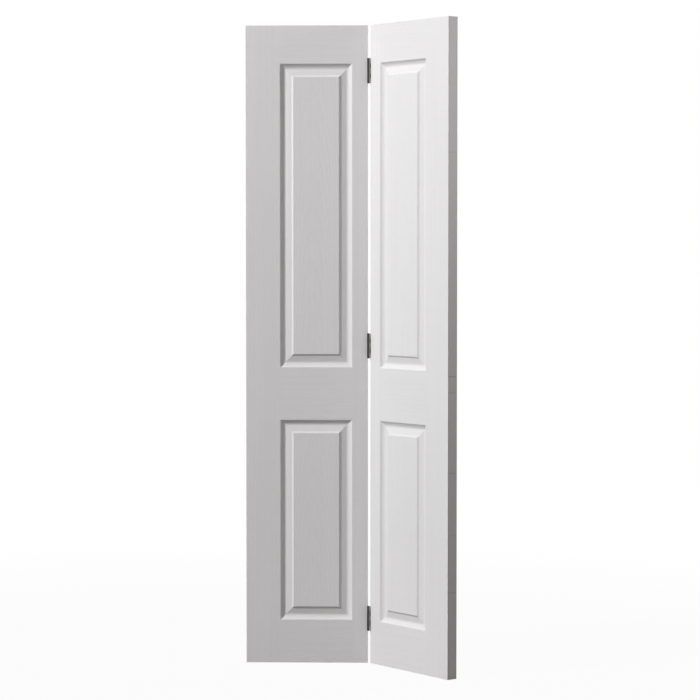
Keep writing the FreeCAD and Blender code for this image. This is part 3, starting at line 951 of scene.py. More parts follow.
@dataclass(frozen=True)
class Finishes:
    """Every material of the door but its timbers', built once.

    Attributes:
        board: Face of the skins.
        edge: Their sawn edges and insides.
        paper: Honeycomb cores.
        bronze: Hinge plates and knuckles.
        pin: Hinge pins.
        steel: Hinge screws.
        zinc: Staples.
    """

    board: Material = field(default_factory=PrimedBoard().material)
    edge: Material = field(default_factory=CutBoard().material)
    paper: Material = field(default_factory=Kraft().material)
    bronze: Material = field(default_factory=BRONZE.material)
    pin: Material = field(default_factory=PIN.material)
    steel: Material = field(default_factory=STEEL.material)
    zinc: Material = field(default_factory=ZINC.material)


# Moulded skins --------------------------------------------------------------------------------


@dataclass(frozen=True)
class Moulding:
    """Section of the moulding round a panel, from the face of the leaf in to the field.

    Attributes:
        rim_width: Width of the rounded rim where the face turns down.
        rim_depth: Fall of that rim.
        cove_width: Width of the hollow fall into the groove.
        cove_radius: Radius of that hollow.
        groove_depth: Depth of the groove.
        groove_width: Width of its flat bottom.
        bevel_width: Width of the gentle rise out of the groove.
        step_depth: Depth at which the rise meets the step.
        step_width: Width of the steep step up to the field.
        softening: How far the pressed board rounds each crease, to either side of it.
        coarse: Distance between rings of the mesh on the smooth stretches.
        fine: Distance between them at a crease.
    """

    rim_width: float = 0.0023
    rim_depth: float = 0.0008
    cove_width: float = 0.0133
    cove_radius: float = 0.027
    groove_depth: float = 0.0093
    groove_width: float = 0.0036
    bevel_width: float = 0.0178
    step_depth: float = 0.0047
    step_width: float = 0.0055
    softening: float = 0.0006
    coarse: float = 0.0014
    fine: float = 0.0002

    @property
    def creases(self) -> tuple[float, ...]:
        """Runs from the outer edge at which the section changes."""
        widths = (self.rim_width, self.cove_width, self.groove_width, self.bevel_width, self.step_width)
        return 0.0, *accumulate(widths)

    @property
    def width(self) -> float:
        """Width of the whole moulding."""
        return self.creases[-1]

    @staticmethod
    def hollow(start: Vector, end: Vector, radius: float, run: float) -> float:
        """Depth of an arc that bulges away from the face.

        Args:
            start: Run and depth at which the arc begins.
            end: Run and depth at which it ends.
            radius: Its radius.
            run: Where to measure.

        Returns:
            The depth there.
        """
        chord = end - start
        square = Vector((chord.y, -chord.x)).normalized()
        centre = (start + end) / 2 + square * math.sqrt(radius**2 - chord.length_squared / 4)
        return centre.y + math.sqrt(radius**2 - (run - centre.x) ** 2)

    def sharp_depth(self, run: float) -> float:
        """Depth of the section before its creases are softened.

        Args:
            run: Distance from the outer edge of the moulding.

        Returns:
            The depth below the face.
        """
        start, cove, groove, bevel, step, end = self.creases
        if run <= start or run >= end:
            return 0.0
        if run < cove:
            radius = (self.rim_width**2 + self.rim_depth**2) / (2 * self.rim_depth)
            return radius - math.sqrt(radius**2 - run**2)
        if run < groove:
            fall = Vector((cove, self.rim_depth)), Vector((groove, self.groove_depth))
            return self.hollow(*fall, self.cove_radius, run)
        if run < bevel:
            return self.groove_depth
        if run < step:
            rise = self.groove_depth - self.step_depth
            return self.groove_depth - rise * (run - bevel) / self.bevel_width
        return self.step_depth * (end - run) / self.step_width

    def depth(self, run: float) -> float:
        """Depth of the section with soft creases.

        Args:
            run: Distance from the outer edge of the moulding.

        Returns:
            The depth below the face.
        """
        taps = 6
        total = 0.0
        for tap in range(-taps, taps + 1):
            total += (taps + 1 - abs(tap)) * self.sharp_depth(run + self.softening * tap / (taps + 1))
        return total / (taps + 1) ** 2

    def rings(self) -> list[Pair]:
        """Lay out the rings of the mesh.

        Returns:
            Runs and depths of the rings, the first and last at depth 0.
        """
        reach = self.softening
        runs = {-reach, self.width + reach}
        for start, end in zip(self.creases, self.creases[1:]):
            count = max(1, round((end - start) / self.coarse))
            runs.update(start + (end - start) * step / count for step in range(count + 1))
        steps = math.ceil(reach / self.fine)
        for crease in self.creases:
            runs.update(crease + reach * step / steps for step in range(-steps, steps + 1))
        ordered = []
        for run in sorted(runs):
            if not ordered or run - ordered[-1] > self.fine / 3:
                ordered.append(run)
        depths = [self.depth(run) for run in ordered]
        depths[0] = depths[-1] = 0.0
        return list(zip(ordered, depths))


@dataclass(frozen=True)
class Panel:
    """A raised panel, out to the edge of its moulding.

    Attributes:
        near: Reach of its side at the hinges.
        far: Reach of its outer side.
        foot: Height of its lower side.
        head: Height of its upper side.
    """

    near: float
    far: float
    foot: float
    head: float

    def corners(self, run: float) -> list[Pair]:
        """Corners of the rectangle that lies a distance inside the panel."""
        low, high, foot, head = self.near + run, self.far - run, self.foot + run, self.head - run
        return [(low, foot), (high, foot), (high, head), (low, head)]

    def side_runs(self, reach: float, height: float) -> tuple[float, float, float, float]:
        """Distances of a place inside the near, far, lower and upper side."""
        return reach - self.near, self.far - reach, height - self.foot, self.head - height


@dataclass(frozen=True)
class SkinPlan:
    """Layout of a moulded skin.

    Attributes:
        thickness: Thickness of the board.
        hinge_margin: Flat band at the hinge edge.
        outer_margin: Flat band at the outer edge.
        panels: Heights of the foot and head of each panel.
        notch_depth: Depth of the mortise of a hinge plate in the edge.
        notch_clearance: Room above and below that plate.
        arris: Rounding of the outer edges.
        flat_area: Area in square metres above which a face is a flat band or field.
        crease: Angle in degrees from which an edge of the mesh stays sharp.
        wall_slope: Most that a wall of the edge faces to the front, out of 1.
        moulding: Section of the panel mouldings.
        plank_shifts: Shifts along the grain for the leaf, its face and the number of the plank.
        field_heart: How far the heart of a field's plank lies off its middle.
        moulding_heart: How far the heart of a moulding's plank lies outside the panel.
        hinge_heart: How far the heart of the hinge band's plank lies inside the panels' near side.
        outer_heart: How far the heart of the outer band's plank lies outside the leaf.
        rail_hearts: Heights of the hearts of the rail bands' planks, the last above the head.
    """

    thickness: float = 0.003
    hinge_margin: float = 0.0475
    outer_margin: float = 0.105
    panels: tuple[Pair, ...] = ((0.1335, 0.7610), (0.9220, 1.8645))
    notch_depth: float = 0.002
    notch_clearance: float = 0.0002
    arris: float = 0.0006
    flat_area: float = 0.002
    crease: float = 28.0
    wall_slope: float = 0.2
    moulding: Moulding = Moulding()
    plank_shifts: Point = (17.0, 5.0, 3.0)
    field_heart: float = 0.008
    moulding_heart: float = 0.05
    hinge_heart: float = 0.055
    outer_heart: float = 0.035
    rail_hearts: Point = (-0.045, 0.79, 0.04)

    def layout(self, box: LeafBox) -> list[Panel]:
        """Panels of a leaf, from the lower one up."""
        near, far = box.near + self.hinge_margin, box.far - self.outer_margin
        return [Panel(near, far, foot, head) for foot, head in self.panels]


@dataclass
class Skin:
    """One moulded skin of a leaf: a closed shell with two raised panels.

    Attributes:
        hand: Leaf that it belongs to.
        face: Face of that leaf.
        box: Outside of the leaf.
        plan: Layout of the skin.
        mortises: Foot and head of each hinge plate let into its edge, from the lowest up.
        work: Its mesh in the making.
        points: Vertices made so far, by reach, height and layer.
        panels: Its panels, from the lower one up.
    """

    hand: Hand
    face: Face
    box: LeafBox
    plan: SkinPlan
    mortises: list[Pair]
    work: bmesh.types.BMesh = field(default_factory=bmesh.new)
    points: dict[tuple[float, float, int], Vertex] = field(default_factory=dict)
    panels: list[Panel] = field(init=False)

    def __post_init__(self) -> None:
        """Lay the panels out."""
        self.panels = self.plan.layout(self.box)

    def point(self, reach: float, height: float, depth: float, layer: int) -> Vertex:
        """A point of the shell, made once.

        Args:
            reach: Distance from the pins along the leaf.
            height: Height above the foot.
            depth: Depth below the face.
            layer: 0 for the face of the board and 1 for its inside.

        Returns:
            The vertex.
        """
        key = (round(reach, 6), round(height, 6), layer)
        if key not in self.points:
            below = depth + layer * self.plan.thickness
            y = self.box.surface(self.face) + self.face.value * below
            self.points[key] = self.work.verts.new((self.hand.value * reach, y, height))
        return self.points[key]

    def sheet(self, outline: list[tuple[float, float, float]]) -> None:
        """Lay a face on the board and its partner inside it.

        Args:
            outline: Reach, height and depth of its corners, anticlockwise.
        """
        for layer in (0, 1):
            corners = [self.point(*corner, layer) for corner in outline]
            self.work.faces.new(corners if layer == 0 else corners[::-1])

    def hinge_edge(self) -> list[Pair]:
        """Follow the hinge edge from the head down to the foot.

        Returns:
            Its corners, with the mortises let into it.
        """
        near, deep = self.box.near, self.box.near + self.plan.notch_depth
        points = [(near, self.box.height)]
        for foot, head in reversed(self.mortises):
            low, high = foot - self.plan.notch_clearance, head + self.plan.notch_clearance
            points += [(near, high), (deep, high), (deep, low), (near, low)]
        return [*points, (near, 0.0)]

    def flats(self) -> list[Pair]:
        """Lay the flat bands round the panels.

        Returns:
            The outer edge of the skin, anticlockwise.
        """
        start = self.plan.moulding.rings()[0][0]
        near, far = self.panels[0].near + start, self.panels[0].far - start
        heights = [0.0]
        for panel in self.panels:
            heights += [panel.foot + start, panel.head - start]
        heights.append(self.box.height)
        hinge_band = [(near, height) for height in heights] + self.hinge_edge()
        outer_band = [(self.box.far, 0.0), (self.box.far, self.box.height)]
        outer_band += [(far, height) for height in reversed(heights)]
        rails = [
            [(near, foot), (far, foot), (far, head), (near, head)]
            for foot, head in zip(heights[::2], heights[1::2])
        ]
        for outline in (hinge_band, outer_band, *rails):
            self.sheet([(*corner, 0.0) for corner in outline])
        head = [(self.box.far, self.box.height), (far, self.box.height), (near, self.box.height)]
        foot = [(near, 0.0), (far, 0.0), (self.box.far, 0.0)]
        return foot + head + self.hinge_edge()

    def raise_panel(self, panel: Panel) -> None:
        """Lay the mitred moulding and the field of a panel.

        Args:
            panel: The panel.
        """
        outlines = self.plan.moulding.rings()
        rings = [[(*corner, depth) for corner in panel.corners(run)] for run, depth in outlines]
        for outer, inner in zip(rings, rings[1:]):
            for side in range(4):
                after = (side + 1) % 4
                self.sheet([outer[side], outer[after], inner[after], inner[side]])
        self.sheet(rings[-1])
        for outer, inner in zip(rings, rings[1:]):
            for start, end in zip(outer, inner):
                for layer in (0, 1):
                    mitre = [self.point(*start, layer), self.point(*end, layer)]
                    self.work.edges.get(mitre).smooth = False

    def close_edge(self, edge: list[Pair]) -> list[bmesh.types.BMEdge]:
        """Wall up the edge of the board.

        Args:
            edge: The outer edge, anticlockwise.

        Returns:
            The edges to round: those along the face, outside the mortises.
        """
        rounded = []
        bottom = self.box.near + self.plan.notch_depth
        halfway = self.box.near + self.plan.notch_depth / 2
        for start, end in zip(edge, edge[1:] + edge[:1]):
            low, high = (self.point(*place, 0.0, 0) for place in (start, end))
            low_inside, high_inside = (self.point(*place, 0.0, 1) for place in (start, end))
            self.work.faces.new([high, low, low_inside, high_inside])
            ends_at_notch = start[0] < halfway < end[0] or end[0] < halfway < start[0]
            in_notch = abs(start[0] - bottom) < CLOSE and start[0] == end[0]
            level_end = start[1] in (0.0, self.box.height) and start[1] == end[1]
            if level_end or not (ends_at_notch or in_notch):
                rounded.append(self.work.edges.get([low, high]))
        return rounded

    def lay_grain(self) -> None:
        """Write the UV map that the embossed grain follows, plank by plank."""
        layer = self.work.loops.layers.uv.new("grain")
        by_hand, by_face, by_plank = self.plan.plank_shifts
        shift = by_hand * self.hand.value + by_face * self.face.value
        for face in self.work.faces:
            centre = face.calc_center_median()
            heart, grain, plank = self.plank(abs(centre.x), centre.z)
            steep = abs(face.normal.y) < 0.5
            for loop in face.loops:
                reach, inwards, height = abs(loop.vert.co.x), loop.vert.co.y, loop.vert.co.z
                across, along = (reach, height) if grain is Grain.UPRIGHT else (height, reach)
                if steep:
                    across = inwards if grain is Grain.UPRIGHT else across + inwards
                loop[layer].uv = (across - heart, along + shift + by_plank * plank)

    def plank(self, reach: float, height: float) -> tuple[float, Grain, int]:
        """Heart and run of the grain at a place on the skin.

        Args:
            reach: Reach of the place.
            height: Height of the place.

        Returns:
            Where the heart of the plank lies across the grain, which way the grain runs, and a
            number that tells the planks apart.
        """
        plan, panels = self.plan, self.panels
        for place, panel in enumerate(panels):
            runs = panel.side_runs(reach, height)
            if min(runs) > plan.moulding.width:
                return (panel.near + panel.far) / 2 + plan.field_heart, Grain.UPRIGHT, 1 + place
            if min(runs) > 0:
                side = runs.index(min(runs))
                (low, foot), _, (high, head), _ = panel.corners(-plan.moulding_heart)
                grain = Grain.UPRIGHT if side < 2 else Grain.LEVEL
                return (low, high, foot, head)[side], grain, 3 + 4 * place + side
        if reach < panels[0].near:
            return panels[0].near + plan.hinge_heart, Grain.UPRIGHT, 11
        if reach > panels[0].far:
            return self.box.far + plan.outer_heart, Grain.UPRIGHT, 12
        rail = sum(height > panel.foot for panel in panels)
        base = self.box.height if rail == len(panels) else 0.0
        return base + plan.rail_hearts[rail], Grain.LEVEL, 13 + rail

    def shade(self) -> None:
        """Tell the face of the board from its edge and inside, and keep its creases sharp."""
        outside = self.box.surface(self.face)
        inside = outside + self.face.value * self.plan.thickness
        for face in self.work.faces:
            face.smooth = True
            middle = face.calc_center_median().y
            on_wall = abs(face.normal.y) < self.plan.wall_slope and abs(middle - outside) > self.plan.arris
            within = abs(middle - inside) < CLOSE or face.normal.y * self.face.value > 0.3
            face.material_index = int(on_wall or within)
        for seam in self.work.edges:
            beside_flat = any(face.calc_area() > self.plan.flat_area for face in seam.link_faces)
            if beside_flat or seam.calc_face_angle(0.0) > math.radians(self.plan.crease):
                seam.smooth = False

    def build(self, placing: Matrix, finishes: Finishes) -> None:
        """Make the skin.

        Args:
            placing: The move from the pin frame to the row frame.
            finishes: The materials.
        """
        edge = self.flats()
        for panel in self.panels:
            self.raise_panel(panel)
        rounded = self.close_edge(edge)
        outward(self.work)
        bmesh.ops.bevel(
            self.work, geom=rounded, offset=self.plan.arris, segments=4, profile=0.5, affect="EDGES",
            clamp_overlap=True,
        )
        self.work.normal_update()
        self.lay_grain()
        self.shade()
        node = self.hand.node(f"{self.face.name.lower()}_skin")
        name = f"{node}_moulded"
        coats = finishes.board, finishes.edge
        finished(name, as_mesh(self.work, name), placing, self.hand.body, "primed_skin", node, *coats)


# Leaves ---------------------------------------------------------------------------------------


@dataclass
class Leaf:
    """One leaf: two moulded skins on a timber frame with a paper honeycomb inside.

    Attributes:
        hand: Which leaf it is.
        pins: Where the pins stand.
        box: Outside of the leaf.
        finishes: The materials.
        plan: Layout of the skins.
        timber: Finish of the frame.
    """

    hand: Hand
    pins: Pins
    box: LeafBox
    finishes: Finishes
    plan: SkinPlan = SkinPlan()
    timber: Timber = Timber()

    def build(self, mortises: list[Pair]) -> None:
        """Make the skins and dress what is inside them.

        Args:
            mortises: Foot and head of each hinge plate, from the lowest up.
        """
        placing = self.pins.placing(self.hand)
        for face in Face:
            cut_in = mortises if face is Face.FRONT else []
            Skin(self.hand, face, self.box, self.plan, cut_in).build(placing, self.finishes)
        self.dress_frame(placing)
        for panel in ("upper", "lower"):
            dressed(self.hand.node(f"{panel}_core"), self.finishes.paper)
        dressed(self.hand.node("frame_staples"), self.finishes.zinc)

    def dress_frame(self, placing: Matrix) -> None:
        """Give each timber its own piece of the tree.

        Args:
            placing: The move from the pin frame to the row frame.
        """
        side = self.hand.value
        middle = (self.box.near + self.box.far) / 2
        hearts = {
            "hinge_stile": (Grain.UPRIGHT, (side * 0.050, -0.035, 0.0)),
            "outer_stile": (Grain.UPRIGHT, (side * (self.box.far - 0.075), 0.062, 0.0)),
            "top_rail": (Grain.LEVEL, (side * middle, 0.070, self.box.height - 0.02)),
            "middle_rail": (Grain.LEVEL, (side * middle, -0.040, 0.86)),
            "bottom_rail": (Grain.LEVEL, (side * middle, 0.075, 0.015)),
        }
        for part, (grain, heart) in hearts.items():
            node = self.hand.node(part)
            dressed(node, self.timber.material(f"{node}_timber", placing, self.box, grain, heart))


# Hinges ---------------------------------------------------------------------------------------


@dataclass(frozen=True)
class HingeSizes:
    """Sizes of a butt hinge.

    Attributes:
        barrel: Outer radius of the knuckles.
        bore: Radius of their bore.
        knuckles: Number of knuckles on the pin.
        gap: Room between the knuckles of the two plates.
        reach: Reach of a plate into the thickness of the leaf, from the pin.
        arris: Rounding of the knuckles.
        plate_arris: Rounding of the plates.
        shank: Radius of the pin.
        head: Radius of its heads.
        head_height: Height of those heads.
        head_flat: Share of the head's radius that its flat middle takes up.
        head_drum: Share of the head's height that lies below its dome.
        head_foot: How far the foot of the head is drawn in.
        screw_inset: Height of the end screws above and below the ends of the plate.
        near_reach: Reach of the end screws.
        far_reach: Reach of the middle screw.
        clearance: Room round a screw in its hole.
    """

    barrel: float = 0.0044
    bore: float = 0.0024
    knuckles: int = 5
    gap: float = 0.00025
    reach: float = 0.025
    arris: float = 0.00035
    plate_arris: float = 0.000245
    shank: float = 0.00235
    head: float = 0.0040
    head_height: float = 0.001
    head_flat: float = 0.55
    head_drum: float = 0.25
    head_foot: float = 0.0002
    screw_inset: float = 0.012
    near_reach: float = 0.0125
    far_reach: float = 0.0185
    clearance: float = 0.0001


class Half(Enum):
    """The two halves of a hinge: the leaf of each, and the places of its knuckles from the foot."""

    FIXED = (Hand.PIVOT, (0, 2, 4))
    SWING = (Hand.LEAD, (1, 3))

    def __init__(self, hand: Hand, places: tuple[int, ...]) -> None:
        """Keep the leaf and the places of the half."""
        self.hand = hand
        self.places = places

    @property
    def label(self) -> str:
        """What its nodes call the half."""
        return self.name.lower()


@dataclass(frozen=True)
class Screw:
    """The countersunk wood screw that all the hinges share.

    Attributes:
        head: Radius of its head.
        shank: Radius of its shank and of its thread.
        core: Radius between the threads.
        length: Length of the screw.
        bare: Length of shank without a thread.
        tip: Length of its point.
        pitch: Distance between the threads.
        ridge: Share of the pitch that either flank of the thread takes up.
        nib: Chamfer of the head's edge, and smallest radius of the point.
        recess_span: Span of the cross recess.
        recess_width: Width of its arms.
        recess_depth: Depth of it.
        recess_taper: Share of the span that is left at its bottom.
        steps: Number of faces round the screw.
        rows: Number of rings to a turn of the thread.
    """

    head: float = 0.0037
    shank: float = 0.0019
    core: float = 0.00135
    length: float = 0.025
    bare: float = 0.004
    tip: float = 0.005
    pitch: float = 0.0018
    ridge: float = 0.22
    nib: float = 0.0001
    recess_span: float = 0.0044
    recess_width: float = 0.0010
    recess_depth: float = 0.0014
    recess_taper: float = 0.45
    steps: int = 20
    rows: int = 5

    def threaded(self) -> Mesh:
        """Turn the screw with its thread.

        Returns:
            The screw along x, its head at zero and no recess in it yet.
        """
        neck = self.head - self.shank
        start = neck + self.bare
        count = round((self.length - start) / self.pitch * self.rows)
        outline = [(0.0, self.head - self.nib), (self.nib, self.head)]
        outline += [(neck, self.shank), (start, self.shank)]
        for row in range(1, count):
            along = start + (self.length - start) * row / count
            taper = min(1.0, (self.length - along) / self.tip)
            rise = min(1.0, (along - start) / self.pitch)
            radii = []
            for step in range(self.steps):
                turn = (along / self.pitch + step / self.steps) % 1.0
                ridge = max(0.0, 1.0 - abs(turn - 0.5) / self.ridge)
                thread = self.core + (self.shank - self.core) * ridge
                radii.append(max(taper * (thread * rise + self.shank * (1 - rise)), self.nib))
            outline.append((along, radii))
        return turned("screw_blank", [*outline, (self.length, 0.0)], self.steps)

    def cross(self) -> Mesh:
        """Shape the cross that is pressed into the head.

        Returns:
            What it takes out of the head, tapered to its bottom.
        """
        side, above = self.recess_width / 2, 0.0003
        work = bmesh.new()
        rings = []
        for along, share in ((-above, 1.0), (self.recess_depth, self.recess_taper)):
            arm = self.recess_span / 2 * share
            ring = []
            for turn in range(4):
                cosine, sine = math.cos(turn * math.pi / 2), math.sin(turn * math.pi / 2)
                for y, z in ((arm, -side), (arm, side), (side, side)):
                    ring.append(work.verts.new((along, y * cosine - z * sine, y * sine + z * cosine)))
            rings.append(ring)
        walled(work, rings)
        return as_mesh(work, "screw_recess")

    def make(self) -> bpy.types.Object:
        """Make the screw.

        Returns:
            An object that is not linked to the scene, for the rows of screws to copy.
        """
        mesh = carved(self.threaded(), self.cross())
        smoothed(mesh, 32.0)
        return bpy.data.objects.new("hinge_screw", mesh)


@dataclass
class ButtHinge:
    """One butt hinge: two plates with knuckles, a pin and six screws.

    Attributes:
        place: Which hinge it is: top, middle or bottom.
        pins: Where the pins stand.
        finishes: The materials.
        screw: Sizes of its screws.
        pattern: The screw to copy.
        sizes: Sizes of the hinge.
        foot: Height of its foot.
        height: Its height.
    """

    place: str
    pins: Pins
    finishes: Finishes
    screw: Screw
    pattern: bpy.types.Object
    sizes: HingeSizes = HingeSizes()
    foot: float = field(init=False)
    height: float = field(init=False)

    def __post_init__(self) -> None:
        """Read the foot and height of the hinge from the frame."""
        low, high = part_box(self.node("fixed_leaf"))
        self.foot, self.height = low.z, high.z - low.z

    def node(self, part: str) -> str:
        """Name of a node of this hinge."""
        return f"{self.place}_hinge_{part}"

    def trim(self, half: Half) -> float:
        """How much shorter than its share of the barrel a knuckle of a half is at each end."""
        return self.sizes.gap if half is Half.SWING else 0.0

    def knuckle_row(self, half: Half) -> Mesh:
        """Make the knuckles of one half, rounded at their ends.

        Args:
            half: Half of the hinge.

        Returns:
            The knuckles in the pin frame, above the foot of the hinge.
        """
        share = self.height / self.sizes.knuckles
        tree = Geometry(
            self.node(f"{half.label}_knuckles"),
            count=len(half.places),
            start=share * (half.places[0] + 0.5),
            pitch=share * 2,
            length=share - 2 * self.trim(half),
            barrel_radius=self.sizes.barrel,
            bore_radius=self.sizes.bore,
            arris=self.sizes.arris,
            finish=self.finishes.bronze,
        )
        given = tree.given
        wall = tree.sum_of("SUBTRACT", given("Barrel Radius"), given("Bore Radius"))
        middle = tree.sum_of("ADD", given("Bore Radius"), tree.sum_of("MULTIPLY", wall, 0.5))
        section = tree.result("GeometryNodeCurvePrimitiveQuadrilateral", Width=wall, Height=given("Length"))
        section = tree.result(
            "GeometryNodeFilletCurve", {"mode": "POLY"}, Curve=section, Count=3, Radius=given("Arris")
        )
        circle = tree.result(
            "GeometryNodeCurvePrimitiveCircle", {"mode": "RADIUS"}, Resolution=48, Radius=middle
        )
        tube = tree.result("GeometryNodeCurveToMesh", Curve=circle, Profile_Curve=section)
        row = tree.result(
            "GeometryNodeMeshLine", {"mode": "OFFSET"}, Count=given("Count"),
            Start_Location=tree.vector(z=given("Start")), Offset=tree.vector(z=given("Pitch")),
        )
        tree.close(tree.result("GeometryNodeInstanceOnPoints", Points=row, Instance=tube))
        return tree.grow()

    def plate(self, half: Half) -> Mesh:
        """Make the plate of one half, cut back for the other half's knuckles.

        Args:
            half: Half of the hinge.

        Returns:
            The plate in the pin frame, above the foot of the hinge.
        """
        sizes = self.sizes
        share = self.height / sizes.knuckles
        clear = sizes.barrel + sizes.gap
        outline = [(sizes.reach, 0.0), (sizes.reach, self.height)]
        for place in reversed(range(sizes.knuckles)):
            own = place in half.places
            trim = self.trim(half) if own else -self.trim(half)
            inset = 0.0 if own else clear
            low, high = share * place + trim, share * (place + 1) - trim
            outline += [(inset, min(high, self.height)), (inset, max(low, 0.0))]
        work = bmesh.new()
        side = half.hand.value
        depths = sizes.bore, sizes.barrel
        walled(work, [[work.verts.new((side * x, y, z)) for y, z in outline] for x in depths])
        edges = [edge for edge in work.edges if min(vert.co.y for vert in edge.verts) > clear / 2]
        bmesh.ops.bevel(work, geom=edges, offset=sizes.plate_arris, segments=2, profile=0.5, affect="EDGES")
        return carved(as_mesh(work, "hinge_plate"), self.countersinks(side))

    def countersinks(self, side: int) -> Mesh:
        """Shape what the three screw holes take out of a plate.

        Args:
            side: Side of the pins that the plate lies on.

        Returns:
            Three turned cutters.
        """
        over = 0.001
        wide, narrow = (radius + self.sizes.clearance for radius in (self.screw.head, self.screw.shank))
        face, back = self.sizes.bore, self.sizes.barrel
        outline = [(face - over, 0.0), (face - over, wide), (face, wide), (face + wide - narrow, narrow)]
        outline += [(back + over, narrow), (back + over, 0.0)]
        cutters = []
        for height, reach in self.screw_places():
            cutter = turned("countersink", outline, 32)
            if side < 0:
                cutter.transform(Matrix.Rotation(math.pi, 4, "Z"))
            cutter.transform(Matrix.Translation((0, reach, height)))
            cutters.append(cutter)
        return joined("countersinks", cutters)

    def screw_places(self) -> list[Pair]:
        """Height above the foot and reach into the leaf of each screw."""
        inset, near, far = self.sizes.screw_inset, self.sizes.near_reach, self.sizes.far_reach
        return [(inset, near), (self.height / 2, far), (self.height - inset, near)]

    def screw_row(self, half: Half) -> Mesh:
        """Make the three screws of one plate, each turned its own way.

        Args:
            half: Half of the hinge.

        Returns:
            The screws in the pin frame, above the foot of the hinge.
        """
        side = half.hand.value
        tree = Geometry(
            self.node(f"{half.label}_screw_row"),
            screw=self.pattern,
            inset=self.sizes.screw_inset,
            height=self.height,
            near_reach=self.sizes.near_reach,
            far_reach=self.sizes.far_reach,
            edge=side * self.sizes.bore,
            facing=0.0 if side > 0 else math.pi,
            seed=11 + round(self.foot / MILLIMETRE) % 7 + side,
            finish=self.finishes.steel,
        )
        given = tree.given
        upper = tree.sum_of("SUBTRACT", given("Height"), given("Inset"))
        start, end = (tree.vector(given("Edge"), given("Near Reach"), z) for z in (given("Inset"), upper))
        modes = {"mode": "END_POINTS", "count_mode": "TOTAL"}
        row = tree.result("GeometryNodeMeshLine", modes, Count=3, Start_Location=start, Offset=end)
        middle = tree.sum_of("COMPARE", tree.result("GeometryNodeInputIndex"), 1.0, 0.1)
        further = tree.sum_of("SUBTRACT", given("Far Reach"), given("Near Reach"))
        shift = tree.vector(y=tree.sum_of("MULTIPLY", middle, further))
        moved = tree.result("GeometryNodeSetPosition", Geometry=row, Offset=shift)
        screw = tree.add("GeometryNodeObjectInfo", Object=given("Screw")).outputs["Geometry"]
        spin = tree.result(
            "FunctionNodeRandomValue", {"data_type": "FLOAT"}, Max=math.tau, Seed=given("Seed")
        )
        copies = tree.result(
            "GeometryNodeInstanceOnPoints", Points=moved, Instance=screw,
            Rotation=tree.vector(z=given("Facing")),
        )
        tree.close(tree.result(
            "GeometryNodeRotateInstances", Instances=copies, Rotation=tree.vector(x=spin), Local_Space=True
        ))
        return tree.grow()

    def pin(self) -> Mesh:
        """Turn the pin, with a domed head at each end.

        Returns:
            The pin in the pin frame, above the foot of the hinge.
        """
        sizes, dome = self.sizes, 5
        top = [(self.height, sizes.shank), (self.height, sizes.head - sizes.head_foot)]
        for step in range(dome + 1):
            angle = math.pi / 2 * step / dome
            rise = sizes.head_drum + (1 - sizes.head_drum) * math.sin(angle)
            radius = sizes.head_flat + (1 - sizes.head_flat) * math.cos(angle)
            top.append((self.height + sizes.head_height * rise, sizes.head * radius))
        top.append((self.height + sizes.head_height, 0.0))
        bottom = [(self.height - along, radius) for along, radius in reversed(top)]
        mesh = turned(self.node("pin_domed"), bottom + top, 40)
        mesh.transform(Matrix.Rotation(-math.pi / 2, 4, "Y"))
        smoothed(mesh, 40.0)
        return mesh

    def build(self) -> None:
        """Make both halves, their screws and the pin."""
        for half in Half:
            placing = self.pins.placing(half.hand, self.foot)
            name, body = self.node(f"{half.label}_half"), half.hand.body
            metal = joined(name, [self.plate(half), self.knuckle_row(half)])
            smoothed(metal, 35.0)
            leaf, screws = self.node(f"{half.label}_leaf"), self.node(f"{half.label}_screws")
            finished(name, metal, placing, body, "hinge_bronze", leaf, self.finishes.bronze)
            name = self.node(f"{half.label}_threaded_screws")
            finished(name, self.screw_row(half), placing, body, "hinge_screw", screws, self.finishes.steel)
        placing = self.pins.placing(Hand.PIVOT, self.foot)
        name, node = self.node("domed_pin"), self.node("pin")
        finished(name, self.pin(), placing, Hand.PIVOT.body, "hinge_pin", node, self.finishes.pin)


# Studio ---------------------------------------------------------------------------------------


@dataclass(frozen=True)
class SoftBox:
    """A soft lamp.

    Attributes:
        name: Its name.
        place: Where it stands.
        aim: What it points at.
        width: Its width.
        height: Its height.
        power: Its power in watts.
        colour: Colour of its light.
    """

    name: str
    place: Point
    aim: Point
    width: float
    height: float
    power: float
    colour: Colour = WHITE

    def hang(self) -> None:
        """Add the lamp to the scene."""
        data = bpy.data.lights.new(self.name, "AREA")
        data.shape = "RECTANGLE"
        data.size = self.width
        data.size_y = self.height
        data.energy = self.power
        data.color = self.colour
        lamp = bpy.data.objects.new(self.name, data)
        lamp.visible_camera = False
        lamp.location = self.place
        lamp.rotation_euler = (Vector(self.aim) - Vector(self.place)).to_track_quat("-Z", "Y").to_euler()
        bpy.context.scene.collection.objects.link(lamp)
        LOG.info("%s: %.0f W", self.name, self.power)


